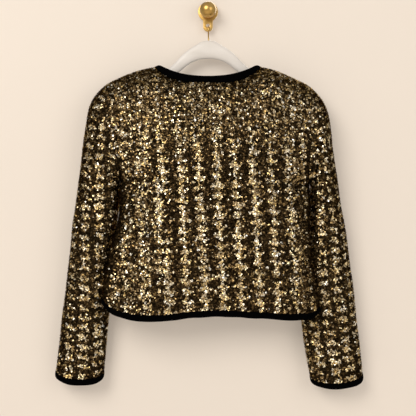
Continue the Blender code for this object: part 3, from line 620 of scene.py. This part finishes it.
motif = {
    "columnPitch": 0.0341, "rowPitch": 0.0190, "rowShift": 24.3854545,
    "rowWave": (0.08, 2.4),
    "lean": 0.050,        # sideways per metre down, which follows the middle of the back
    "fray": 0.35,         # how far a sequin's place may stray in the chart, in cells
    "chart": (            # one repeat: # gold, + mixed, . dark
        "....+#..........",
        "....##+.........",
        "...+##+.........",
        "..+####.........",
        ".+#####+..+.....",
        "########.+#.....",
        ".#########+.....",
        "..+######.......",
        "....+##+........",
    ),
    "sleeveChart": (
        "....+.......",
        "...##...+...",
        ".#.###.##...",
        ".########...",
        "..#######...",
        "..########..",
        "..###+.##...",
        "...+........",
        "............",
        "............",
    ),
    "centre": 0.34,       # of the gold, in columns from the chart's left
    "goldShare": {"#": 0.96, "+": 0.5, ".": 0.02},
    "flake": 0.0036,      # across the small groups of sequins that share a tone
    "luck": (0.72, 0.50),  # of each repeat: the least, and how much more at most
    "luckWaves": (12.99, 78.23, 437.58),
    "stray": 0.12,        # share of sequins that keep a tone of their own
    "brownShare": 0.16,   # of the dark flakes
    "yokeBrownShare": 0.46,
    "armShadowReach": {-1: 0.020, 1: 0.013},  # reach of the painted shadow beside each arm, on the back's cloth
    "armShadowFrom": {-1: -0.270, 1: -0.222},  # the height where the painted shadow starts
    "armShadowFade": 0.03,
    "armShadowCore": 0.35,     # share of the painted shadow's reach that is darkest
    "armShadowStrength": (0.95, 0.90),  # how far the painted shadow dims the gold and the brown
    "hemZ": -0.58, "yokeShare": 0.235,
    "yokeRepeat": (2, 1.4),  # columns and rows for each of the back's
    "yokeContrast": 0.45, "sideContrast": 0.55, "yokeTo": -0.200, "strongFrom": -0.300,
    "clearFrom": -0.085, "clearTo": 0.135, "clearFade": 0.035,
    "phase": {"back": -0.0094, "front": 0.0},
    "phaseZ": -0.459,
    "sideShift": 0.33,    # the left side panel's columns don't meet the centre's
    "rise": 0.17,         # of each column over the one to its left, in rows
    "sleeveColumns": {-1: 8, 1: 9},
    "sleeveCentre": 0.43,
    "sleevePhase": {-1: 0.155, 1: -0.196},  # of the main column, in turns from the outer seam
    "sleeveSlope": {-1: 0.40, 1: 0.18},     # turns per metre down
    "sleeveFrom": 0.137, "sleeveRowPitch": 0.0193,
    "sleeveRise": {-1: -0.32, 1: -0.27},
}


def chartShare(chart, u, v):  # chance of gold at a place in the repeat, u and v in repeats
    table = np.array([[motif["goldShare"][cell] for cell in row] for row in chart])
    fray = motif["fray"]
    r, c = (np.floor((place % 1) * count + rng.uniform(-fray, fray, u.shape)).astype(int) % count
            for place, count in zip((v, u), table.shape))
    a, b, size = motif["luckWaves"]
    luck = (np.sin(a * np.floor(u) + b * np.floor(v)) * size) % 1  # one for each repeat, as if drawn
    least, more = motif["luck"]
    return np.clip(table[r, c] * (least + more * luck), 0, 1)


def flakesOf(places):  # the sequin at each flake's middle, and each sequin's own flake
    count = int(len(places) * (sequins["pitch"] / motif["flake"]) ** 2)
    middles = rng.choice(len(places), count, replace=False)
    tree = KDTree(count)
    for i, middle in enumerate(middles):
        tree.insert(places[middle], i)
    tree.balance()
    return middles, np.array([tree.find(place)[1] for place in places])


def rawTones(share, brown):
    count = len(share)
    gold = rng.random(count) < share
    bright, dark = (low + spread * rng.beta(*powers, count)
                    for low, spread, *powers in (sequins["gold"], sequins["dark"]))
    middling = sequins["brown"][0] + sequins["brown"][1] * rng.random(count)
    return np.where(gold, bright, np.where(rng.random(count) < brown, middling, dark))


def tones(places, share, brown):  # each sequin's tone, and how pale its gold is
    middles, owner = flakesOf(places)
    count = len(owner)
    shared = rawTones(share[middles], brown[middles])[owner] + rng.normal(0, sequins["toneSpread"], count)
    tone = np.where(rng.random(count) < motif["stray"], rawTones(share, brown), shared)
    hue = rng.beta(*sequins["huePowers"], len(middles))[owner] + rng.normal(0, sequins["hueSpread"], count)
    return np.clip(tone, 0, 1), np.clip(hue, 0, 1)


def sequinTree():
    tree = bpy.data.node_groups.new("sequinsOnPoints", "GeometryNodeTree")
    for name, kind in (("Geometry", "Geometry"), ("radius", "Float"), ("sides", "Int"), ("look", "Material")):
        tree.interface.new_socket(name, in_out="INPUT", socket_type="NodeSocket" + kind)
    tree.interface.new_socket("Geometry", in_out="OUTPUT", socket_type="NodeSocketGeometry")
    given, result, disc, turn, euler, onPoints, realize, setLook = (tree.nodes.new(kind) for kind in (
        "NodeGroupInput", "NodeGroupOutput", "GeometryNodeMeshCircle", "GeometryNodeInputNamedAttribute",
        "FunctionNodeEulerToRotation", "GeometryNodeInstanceOnPoints", "GeometryNodeRealizeInstances",
        "GeometryNodeSetMaterial",
    ))
    disc.fill_type = "NGON"
    turn.data_type = "FLOAT_VECTOR"
    turn.inputs["Name"].default_value = "turn"
    for source, output, target, socket in (
        (given, "radius", disc, "Radius"), (given, "sides", disc, "Vertices"),
        (given, "Geometry", onPoints, "Points"), (disc, "Mesh", onPoints, "Instance"),
        (turn, "Attribute", euler, 0), (euler, 0, onPoints, "Rotation"),
        (onPoints, "Instances", realize, "Geometry"), (realize, "Geometry", setLook, "Geometry"),
        (given, "look", setLook, "Material"), (setLook, "Geometry", result, "Geometry"),
    ):
        tree.links.new(source.outputs[output], target.inputs[socket])
    return tree


onPointsTree = sequinTree()


def turnsFor(normals):
    count = len(normals)
    down = np.array((0.0, 0.0, -1.0))
    side = unit(np.cross(normals, down) + 1e-9)
    fall = np.cross(side, normals)
    lean = rng.normal(0, sequins["tilt"], (count, 2))
    facing = unit(normals + side * lean[:, :1] + fall * (lean[:, 1:] - sequins["hang"]))
    spin = rng.uniform(0, 2 * np.pi, count)[:, None]
    first = unit(np.cross(facing, side))
    second = np.cross(facing, first)
    across = first * np.cos(spin) + second * np.sin(spin)
    other = np.cross(facing, across)
    return np.stack([
        np.arctan2(other[:, 2], facing[:, 2]),
        -np.arcsin(np.clip(across[:, 2], -1, 1)),
        np.arctan2(across[:, 1], across[:, 0]),
    ], axis=-1)


def scatter(grid, closed):  # places and directions, one sequin to each pitch by pitch of cloth
    if closed:
        grid = np.concatenate([grid, grid[:, :1]], axis=1)
    a, b, low, far = grid[:-1, :-1], grid[:-1, 1:], grid[1:, :-1], grid[1:, 1:]
    cross = np.cross(far - a, b - low)
    area = np.linalg.norm(cross, axis=-1) / 2
    total = np.cumsum(area.ravel()) / sequins["pitch"] ** 2
    count = np.diff(np.floor(np.concatenate([[0], total])).astype(int))
    cell = np.repeat(np.arange(area.size), count)
    u, v = rng.random((len(cell), 1)), rng.random((len(cell), 1))
    corners = [corner.reshape(-1, 3)[cell] for corner in (a, b, low, far)]
    places = (corners[0] * (1 - u) + corners[1] * u) * (1 - v) + (corners[2] * (1 - u) + corners[3] * u) * v
    row, column = np.divmod(cell, area.shape[1])
    return places, unit(cross.reshape(-1, 3)[cell]), (row + v[:, 0]), (column + u[:, 0])


def bodyChart(places, back):  # where the repeat falls on the body, and how strongly it shows
    x, z = places[:, 0], places[:, 2]
    phase = motif["phase"]["back" if back else "front"]
    u = (x - phase + motif["lean"] * (z - motif["phaseZ"])) / motif["columnPitch"] + motif["centre"]
    u = u + (motif["sideShift"] if back else 0) * (x < seamX(z))
    height, turn = motif["rowWave"]
    v = motif["rowShift"] + motif["rise"] * np.floor(u) + height * np.sin(turn * np.floor(u))
    v = v - (z - motif["phaseZ"]) / motif["rowPitch"]
    strong = smoothStep(motif["yokeTo"], motif["strongFrom"], z)
    if back:  # and it is clearest in the middle
        low, high, fade = motif["clearFrom"], motif["clearTo"], motif["clearFade"]
        clear = smoothStep(low - fade, low, x) * smoothStep(high + fade, high, x)
        strong = strong * (motif["sideContrast"] + (1 - motif["sideContrast"]) * clear)
    # in the yoke the repeat is smaller and fainter
    fine = chartShare(motif["chart"], motif["yokeRepeat"][0] * u, motif["yokeRepeat"][1] * v)
    faint = motif["yokeShare"] + motif["yokeContrast"] * (fine - motif["yokeShare"])
    share = faint + (chartShare(motif["chart"], u, v) - faint) * strong
    brown = motif["yokeBrownShare"] + (motif["brownShare"] - motif["yokeBrownShare"]) * strong
    # painted shadow: the shade each sleeve casts on the back beside it, made by turning the sequins in that
    # strip dark
    if back:
        for side, name in ((-1, "left"), (1, "right")):
            start, reach = motif["armShadowFrom"][side], motif["armShadowReach"][side]
            inside = side * (bodyValue(name, downAt(z)) - x)
            shade = smoothStep(start, start - motif["armShadowFade"], z)
            shade = shade * (1 - smoothStep(motif["armShadowCore"] * reach, reach, inside))
            share, brown = (value * (1 - strength * shade)
                            for value, strength in zip((share, brown), motif["armShadowStrength"]))
    return share, brown


def downAt(z):  # share down the back at a height, near enough for the pattern
    return np.clip((z - body["backNeckZ"]) / (motif["hemZ"] - body["backNeckZ"]), 0, 1)


def seamX(z):  # x of the left princess seam at a height, near enough for the pattern's break
    down = downAt(z)
    left, right = bodyValue("left", down), bodyValue("right", down)
    return (left + right) / 2 + princess(down, -1) * (right - left) / 2


def sleeveChart(grid, row, column, side):
    r, c = row.astype(int), column.astype(int)
    lengths = np.linalg.norm(np.diff(grid.mean(axis=1), axis=0), axis=-1)
    down = np.interp(row, np.arange(len(grid)), np.concatenate([[0], np.cumsum(lengths)]))
    steps = np.linalg.norm(np.roll(grid, -1, axis=1) - grid, axis=-1)
    turn = (np.cumsum(steps, axis=1) / steps.sum(axis=1, keepdims=True))[r, c]
    turn = np.where(turn > 0.5, turn - 1, turn)  # the repeat breaks at the inner seam
    phase = motif["sleevePhase"][side] + motif["sleeveSlope"][side] * (down - motif["sleeveFrom"])
    u = (turn - phase) * motif["sleeveColumns"][side] + motif["sleeveCentre"]
    # rows are counted up from the cuff along each line of cloth
    paths = np.cumsum(np.linalg.norm(np.diff(grid, axis=0), axis=-1)[::-1], axis=0)[::-1]
    paths = np.append(paths, np.zeros((1, paths.shape[1])), axis=0)
    up = paths[r, c] - (row - r) * (paths[r, c] - paths[r + 1, c])
    v = motif["sleeveRise"][side] + motif["rise"] * np.floor(u) - up / motif["sleeveRowPitch"]
    return chartShare(motif["sleeveChart"], u, v), np.full(len(u), motif["brownShare"])


def sequinPiece(name, places, normals, share, brown):
    lift = sequins["lift"] + sequins["liftSpread"] * rng.random((len(places), 1))
    mesh = bpy.data.meshes.new(name + "Points")
    mesh.from_pydata((places + normals * lift).tolist(), [], [])
    mesh.attributes.new("turn", "FLOAT_VECTOR", "POINT").data.foreach_set("vector", turnsFor(normals).ravel())
    for attribute, values in zip(("tone", "hue"), tones(places, share, brown)):
        mesh.attributes.new(attribute, "FLOAT", "POINT").data.foreach_set("value", values)
    holder = placed(name + "Points", mesh)
    nodes = holder.modifiers.new("sequins", "NODES")
    nodes.node_group = onPointsTree
    given = {"radius": sequins["radius"], "sides": sequins["sides"], "look": looks["sequins"]}
    for item in onPointsTree.interface.items_tree:
        if item.in_out == "INPUT" and item.name in given:
            nodes[item.identifier] = given[item.name]
    made = placed(name, plainMesh(holder))
    made.data.name = name
    bpy.data.meshes.remove(mesh)
    facing = np.zeros(3 * len(made.data.polygons))
    made.data.polygons.foreach_get("normal", facing)
    if (facing.reshape(-1, 3) * normals).sum() < 0:
        made.data.flip_normals()
    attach(made, "root")
    return made


binding = {               # folded velvet strips with soft edges
    "width": 0.0125, "pointZ": -0.1085, "neckIn": 0.0100, "backZ": -0.1346, "backPower": 2.2,
    "backDepth": 0.039, "frontDrop": 0.084, "frontDepth": 0.016,
    # share of the width from the cloth's edge, and how far out (or in, below 0)
    "section": (
        (0.00, -0.0022), (0.00, 0.0006), (0.10, 0.0014), (0.30, 0.0018), (0.55, 0.0018), (0.80, 0.0014),
        (0.95, 0.0006), (1.00, -0.0005), (0.95, -0.0016), (0.78, -0.0023), (0.50, -0.0026), (0.22, -0.0026),
    ),
    "puff": (0.0004, 0.37, 1.1),  # how uneven its free edge is, and its waves
    "swell": (0.10, 0.9, 5, 0.23),
}


def bindingPiece(name, near, far, facing, closed=False, longer=False):
    if longer:  # over the edges at its ends
        near, far = (extended(points, binding["width"]) for points in (near, far))
        facing = [facing[0], *facing, facing[-1]]
    near, far, facing = np.array(near), np.array(far), np.array(facing)
    wave = np.arange(len(near))[:, None]
    puff, puffTurn, puffStart = binding["puff"]
    swell, turn, across, slow = binding["swell"]
    rings = []
    for share, out in binding["section"]:
        out = out * (1 + swell * np.sin(turn * wave + across * share) * np.sin(slow * wave))
        edge = puff * np.sin(puffTurn * wave + puffStart) * share
        rings.append(near + (far - near) * share + unit(far - near) * edge + facing * out)
    made = tube(name, np.array(rings).transpose(1, 0, 2), "velvet", closed)
    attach(made, "root")
    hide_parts(name.replace("Binding", "_binding_").lower().rstrip("_"))
    return made


def extended(points, length):
    points = [np.array(p, dtype=float) for p in points]
    first, last = points[0].copy(), points[-1].copy()
    first[0] += length * np.sign(points[0][0] - points[1][0])
    last[0] += length * np.sign(points[-1][0] - points[-2][0])
    return [first, *points, last]


def neckFar(points, back):  # the neck binding's free edge
    share = np.minimum(1, np.abs(points[:, 0]) / body["neckHalf"])
    level = np.sqrt(np.clip(1 - share * share, 0, 1))
    x = np.copysign((body["neckHalf"] - binding["neckIn"]) * share, points[:, 0])
    if back:
        z = binding["backZ"] + (binding["pointZ"] - binding["backZ"]) * share ** binding["backPower"]
        y = body["hangerPlaneY"] - binding["backDepth"] * level
    else:
        z = binding["pointZ"] - binding["frontDrop"] * level ** body["frontNeckZPower"]
        y = body["hangerPlaneY"] + binding["frontDepth"] * level ** body["frontNeckYPower"]
    return np.stack([x, y, z], axis=-1)


panels = {
    "backCentre": (backCentreGrid(), False, "back"),
    "backSideLeft": (backSideGrid(-1), False, "back"),
    "backSideRight": (backSideGrid(1), False, "back"),
    "frontLeft": (frontGrid(-1), False, "front"),
    "frontRight": (frontGrid(1), False, "front"),
    "sleeveLeft": (sleeveGrid(-1), True, "sleeve"),
    "sleeveRight": (sleeveGrid(1), True, "sleeve"),
}
nodesOf = {
    "backCentre": ["back_centre"], "backSideLeft": ["back_side_left"], "backSideRight": ["back_side_right"],
    "frontLeft": ["front_left"], "frontRight": ["front_right"],
    "sleeveLeft": ["sleeve_left_upper", "sleeve_left_lower"],
    "sleeveRight": ["sleeve_right_upper", "sleeve_right_lower"],
}
grids, shells, sequinPieces = {}, {}, {}
for name, (grid, closed, kind) in panels.items():
    if kind == "sleeve":
        lift = sleeveLift(grid, -1 if "Left" in name else 1)
    else:
        lift = linearLift(grid, creases[kind])
    grids[name] = creased(grid, lift, closed)
    shells[name] = shell(name, grids[name], closed)
    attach(shells[name], "root")
    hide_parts(*nodesOf[name])
    places, normals, row, column = scatter(grids[name], closed)
    if kind == "sleeve":
        share, brown = sleeveChart(grid, row, column, -1 if "Left" in name else 1)
    else:
        share, brown = bodyChart(places, kind == "back")
    sequinPieces[name] = sequinPiece(name + "Sequins", places, normals, share, brown)
    print(name, "has", len(places), "sequins")

edges = {name: grid[::2, ::2] for name, grid in grids.items()}
facings = {name: gridNormals(grid, "sleeve" in name) for name, grid in edges.items()}

# neck: along the left front, over to the back and down the right front
reach = (body["shoulderSteps"] + 1) // 2
parts = (
    ("frontLeft", slice(0, -reach - 1)),
    ("backCentre", slice(reach, -reach)),
    ("frontRight", slice(reach + 1, None)),
)
near, facing = (np.concatenate([table[name][0][part] for name, part in parts]) for table in (edges, facings))
far = np.concatenate([neckFar(edges[name][0][part], name == "backCentre") for name, part in parts])
bindingPiece("neckBinding", near, far, facing, longer=True)

# hem: right round, from one front edge to the other
names = ("frontLeft", "backSideLeft", "backCentre", "backSideRight", "frontRight")
near, facing = (
    np.concatenate([table[name][-1][min(i, 1):] for i, name in enumerate(names)])
    for table in (edges, facings)
)
far = near - np.array((0, 0, binding["width"]))
bindingPiece("hemBinding", near, far, unit(facing * (1, 1, 0)), longer=True)

for side, word in ((-1, "Left"), (1, "Right")):
    column = 0 if side < 0 else -1
    near, facing = (table["front" + word][:, column] for table in (edges, facings))
    far = near - np.array((side * binding["width"], 0, 0))
    bindingPiece("frontBinding" + word, near, far, facing)
    near, facing = (table["sleeve" + word][-1] for table in (edges, facings))
    far = sleeveSection(side, len(sleeveRows(side)) - 1.0)[::2]
    bindingPiece("cuffBinding" + word, near, far, facing, closed=True)
print("bindings made")

hanger = {
    "centreX": 0.001,
    "rows": (             # |x|, top z, bottom z
        (0.000, -0.0595, -0.0950), (0.012, -0.0615, -0.0960), (0.027, -0.0700, -0.1003),
        (0.040, -0.0785, -0.1072), (0.052, -0.0885, -0.1170), (0.066, -0.1035, -0.1290),
        (0.077, -0.1130, -0.1370), (0.090, -0.1190, -0.1415), (0.105, -0.1212, -0.1430),
        (0.120, -0.1222, -0.1430), (0.130, -0.1232, -0.1435),
    ),
    "seatFrom": 0.130, "seatGap": 0.0007,
    "cloth": 0.0018,      # over it at the shoulders, as thick as the solids' cloth
    "blend": 0.02, "halfLength": 0.187, "endHeight": 0.015, "halfThickness": 0.0055,
    "squareness": 2.4, "endRound": 0.008, "endFirst": 0.04, "sides": 36, "stations": 181,
}


def seatZ(place):
    x = place + hanger["centreX"]
    near = 0.001
    slope = (shoulderZ(x + near) - shoulderZ(x - near)) / (2 * near)
    return shoulderZ(x) - hanger["cloth"] * np.hypot(1, slope) - hanger["seatGap"]


def hangerBoard():
    rows = np.array(hanger["rows"])
    place = hanger["halfLength"] * np.linspace(-1, 1, hanger["stations"])
    away = np.abs(place)
    start = np.abs(seatZ(np.copysign(hanger["seatFrom"], place)) - rows[-1, 1])
    seatFrom = hanger["seatFrom"]
    seated = seatZ(place) - start * (1 - smoothStep(seatFrom, seatFrom + hanger["blend"], away))
    arched = away <= seatFrom
    height = rows[-1, 1] - rows[-1, 2]
    share = (away - seatFrom) / (hanger["halfLength"] - seatFrom)
    clipped = np.minimum(away, seatFrom)
    top = np.where(arched, smoothTable(rows[:, 0], rows[:, 1], clipped), seated)
    bottom = np.where(arched, smoothTable(rows[:, 0], rows[:, 2], clipped),
                      seated - height - (hanger["endHeight"] - height) * share)
    end = roll((hanger["halfLength"] - away) / hanger["endRound"] + hanger["endFirst"])
    angle = 2 * np.pi * (np.arange(hanger["sides"]) + 0.5) / hanger["sides"]
    bend = 2 / hanger["squareness"]
    c, s = (np.sign(wave) * np.abs(wave) ** bend for wave in (np.cos(angle), np.sin(angle)))
    x = np.broadcast_to((place + hanger["centreX"])[:, None], (len(place), len(angle)))
    y = body["hangerPlaneY"] + c * (hanger["halfThickness"] * end)[:, None]
    z = ((top + bottom) / 2)[:, None] + s * ((top - bottom) / 2 * end)[:, None]
    return tube("hangerBoard", np.stack([x, y, z], axis=-1), "hanger")


wire = {
    "x": 0.001, "radius": 0.0013, "bend": 0.006, "bendSteps": 16, "topZ": -0.0287,
    "stem": (
        (-0.0280, -0.0592), (-0.0278, -0.0560), (-0.0262, -0.0515), (-0.0235, -0.0470),
        (-0.0205, -0.0425), (-0.0186, -0.0385),
    ),
    "tipZ": -0.0400,
}


def curvePiece(name, look, lines, closed, **settings):
    curve = bpy.data.curves.new(name, "CURVE")
    for key, value in settings.items():
        setattr(curve, key, value)
    for points in lines:
        line = curve.splines.new("POLY")
        line.use_cyclic_u = closed
        line.points.add(len(points) - 1)
        for point, place in zip(line.points, points):
            point.co = (*place, 1)
    mesh = plainMesh(placed(name + "Curve", curve))
    mesh.materials.clear()
    mesh.materials.append(looks[look])
    return placed(name, mesh)


def arc(radius, start, turn, steps, middle=(0, 0)):
    angle = start + turn * np.arange(steps + 1) / steps
    return np.stack([middle[0] + radius * np.cos(angle), middle[1] + radius * np.sin(angle)], axis=-1)


def hangerWire():
    middleY = (hook["plateFrontY"] + hook["plateRearY"]) / 2
    bend = arc(wire["bend"], math.pi, -math.pi, wire["bendSteps"], (middleY, wire["topZ"] - wire["bend"]))
    route = [*wire["stem"], *bend, (middleY + wire["bend"], wire["tipZ"])]
    made = curvePiece(
        "hangerWire", "brass", [[(wire["x"], y, z) for y, z in route]], False,
        dimensions="3D", bevel_depth=wire["radius"], bevel_resolution=6, use_fill_caps=True,
    )
    made.data.shade_smooth()
    return made


hook = {
    "plateFrontY": -0.0135, "plateRearY": -0.0105, "plateRadius": 0.0197, "tabHalf": 0.0093,
    "tabBottomZ": -0.0393, "eyeZ": -0.02705, "eyeRadius": 0.00375, "bossRadius": 0.0135,
    "bevel": 0.0007, "knobRadius": 0.0160, "knobCentreY": -0.0315, "knobNeckRadius": 0.0065,
    "knobGap": 0.0003,
    "knobFoot": ((0.0015, 0.0), (0.0015, 0.0004), (0.0, 0.0010)),  # past its neck, and off the plate
    "bossRound": 0.0006, "bossSunk": 0.0004, "sides": 72, "eyeSides": 36, "plateSteps": 60,
    "tabSteps": 32, "knobSteps": 36,
    "sharp": 35,          # degrees
}


def turned(name, profile, look):  # a body of revolution about x = 0, z = 0 from (radius, y) rows
    radius, y = np.array(profile).T[..., None]
    angle = 2 * np.pi * np.arange(hook["sides"]) / hook["sides"]
    rings = np.stack(np.broadcast_arrays(radius * np.cos(angle), y, radius * np.sin(angle)), axis=-1)
    faces = quads(len(profile), hook["sides"], True).tolist()
    made = pointOut(meshPiece(name, rings.reshape(-1, 3), faces, look), weld=1e-6)
    made.data.set_sharp_from_angle(angle=math.radians(hook["sharp"]))
    return made


def hookPlate():
    meet = math.asin(hook["tabHalf"] / hook["plateRadius"])
    radius, tabZ = hook["plateRadius"] - hook["bevel"], hook["tabBottomZ"] + hook["tabHalf"]
    disc = arc(radius, meet - math.pi / 2, 2 * (math.pi - meet), hook["plateSteps"])
    tab = arc(hook["tabHalf"] - hook["bevel"], math.pi, math.pi, hook["tabSteps"], (0, tabZ))
    eye = arc(hook["eyeRadius"] + hook["bevel"], 0, 2 * math.pi, hook["eyeSides"], (0, hook["eyeZ"]))[:-1]
    made = curvePiece(
        "hookPlate", "brass", [[(x, z, 0) for x, z in ring] for ring in ([*disc, *tab], eye)], True,
        dimensions="2D", fill_mode="BOTH", bevel_depth=hook["bevel"], bevel_resolution=3,
        extrude=abs(hook["plateFrontY"] - hook["plateRearY"]) / 2 - hook["bevel"],
    )
    middleY = (hook["plateFrontY"] + hook["plateRearY"]) / 2
    for vertex in made.data.vertices:
        x, z, y = vertex.co
        vertex.co = (x, middleY - y, z)
    radius, edge, inner = hook["bossRadius"], hook["bossRound"], hook["plateRearY"] - hook["bossSunk"]
    profile = ((0.0, 0.0), (radius - edge, 0.0), (radius, -edge), (radius, inner), (0.0, inner))
    boss = turned("hookBoss", profile, "brass")
    pointOut(made, boss, weld=1e-6)
    made.data.shade_smooth()
    made.data.set_sharp_from_angle(angle=math.radians(hook["sharp"]))
    return made


def hookKnob():
    seat, neck, radius = hook["plateFrontY"] - hook["knobGap"], hook["knobNeckRadius"], hook["knobRadius"]
    meet = math.asin(neck / radius)
    foot = [(neck + out, seat - off) for out, off in hook["knobFoot"]]
    ball = arc(radius, meet, math.pi - meet, hook["knobSteps"], (hook["knobCentreY"], 0))[:, ::-1]
    return turned("hookKnob", [(0.0, seat), *foot, *ball], "brass")


for piece, node, slot in (
    (hangerBoard(), "hanger_board", "hanger"), (hangerWire(), "hanger_wire", "brass"),
    (hookPlate(), "hook_plate", "brass"), (hookKnob(), "hook_knob", "brass"),
):
    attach(piece, "root")
    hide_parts(node)
print("hanger and hook made")

stage = {
    "floorZ": -1.25, "wallTop": 1.1, "halfWidth": 2.4, "depth": 3.4,
    "wallColour": (0.655, 0.580, 0.500),
    "floorColour": (0.64, 0.595, 0.545),
    "air": ((0.97, 0.95, 0.93, 1), 0.50),  # colour and strength of the light from all round
    "clouding": 0.985,    # of its colour, in the darker places
    "glow": 0.27,         # of its own colour, so that the shadows stay soft
}


def stagePiece(name, points, colour):
    mesh = bpy.data.meshes.new(name)
    mesh.from_pydata(points, [], [(0, 1, 2, 3)])
    darker, glow = ([c * stage[share] for c in colour] for share in ("clouding", "glow"))
    made = plainMaterial(
        name + "Paint", ((3, 2), (240, 3)), ((0.2, darker), (0.8, colour)), (1, 0.05, 0.0006),
        Roughness=0.9, Specular_IOR_Level=0.2, Emission_Color=(*glow, 1), Emission_Strength=1.0,
    )
    nodes, links = made.node_tree.nodes, made.node_tree.links
    # seen from its back it lets the eye through, so that the jacket's front can be looked at
    kinds = ("NewGeometry", "BsdfTransparent", "MixShader")
    side, clear, mix = (nodes.new("ShaderNode" + kind) for kind in kinds)
    links.new(side.outputs["Backfacing"], mix.inputs["Fac"])
    links.new(nodes["Principled BSDF"].outputs["BSDF"], mix.inputs[1])
    links.new(clear.outputs["BSDF"], mix.inputs[2])
    links.new(mix.outputs["Shader"], nodes["Material Output"].inputs["Surface"])
    mesh.materials.append(made)
    piece = placed(name, mesh)
    return piece


w, d, low, high = stage["halfWidth"], stage["depth"], stage["floorZ"], stage["wallTop"]
wall = stagePiece("wall", [(-w, 0, low), (w, 0, low), (w, 0, high), (-w, 0, high)], stage["wallColour"])
wall.visible_diffuse = wall.visible_glossy = wall.visible_shadow = False
stagePiece("floor", [(-w, -d, low), (w, -d, low), (w, d, low), (-w, d, low)], stage["floorColour"])

lights = (
    # name, place, aimed at, size, watts, colour
    ("key", (-1.3, -2.5, 1.0), (0.0, 0.0, -0.40), 1.6, 53, (1.0, 0.975, 0.94)),
    ("fill", (1.8, -2.2, 0.2), (0.0, 0.0, -0.45), 1.6, 14, (1.0, 0.98, 0.96)),
    ("behind", (0.6, 2.6, 0.9), (0.0, 0.0, -0.40), 1.6, 42, (1.0, 0.98, 0.95)),
)
for name, place, aim, size, watts, colour in lights:
    lamp = bpy.data.lights.new(name, "AREA")
    lamp.size = size
    lamp.energy = watts
    lamp.color = colour
    holder = placed(name, lamp)
    holder.location = place
    holder.rotation_euler = (Vector(aim) - Vector(place)).to_track_quat("-Z", "Y").to_euler()

world = bpy.data.worlds.new("studio")
world.use_nodes = True
for socket, value in zip(("Color", "Strength"), stage["air"]):
    world.node_tree.nodes["Background"].inputs[socket].default_value = value
bpy.context.scene.world = world

view = {"place": (0.0, -1.78, -0.3875), "lens": 77.43, "sensor": 36.0}
camera = bpy.data.cameras.new("camera")
camera.lens = view["lens"]
camera.sensor_width = view["sensor"]
holder = placed("camera", camera)
holder.location = view["place"]
holder.rotation_euler = (math.pi / 2, 0, 0)
bpy.context.scene.camera = holder
bpy.context.scene.view_settings.view_transform = "Standard"
print("stage, lights and camera made")
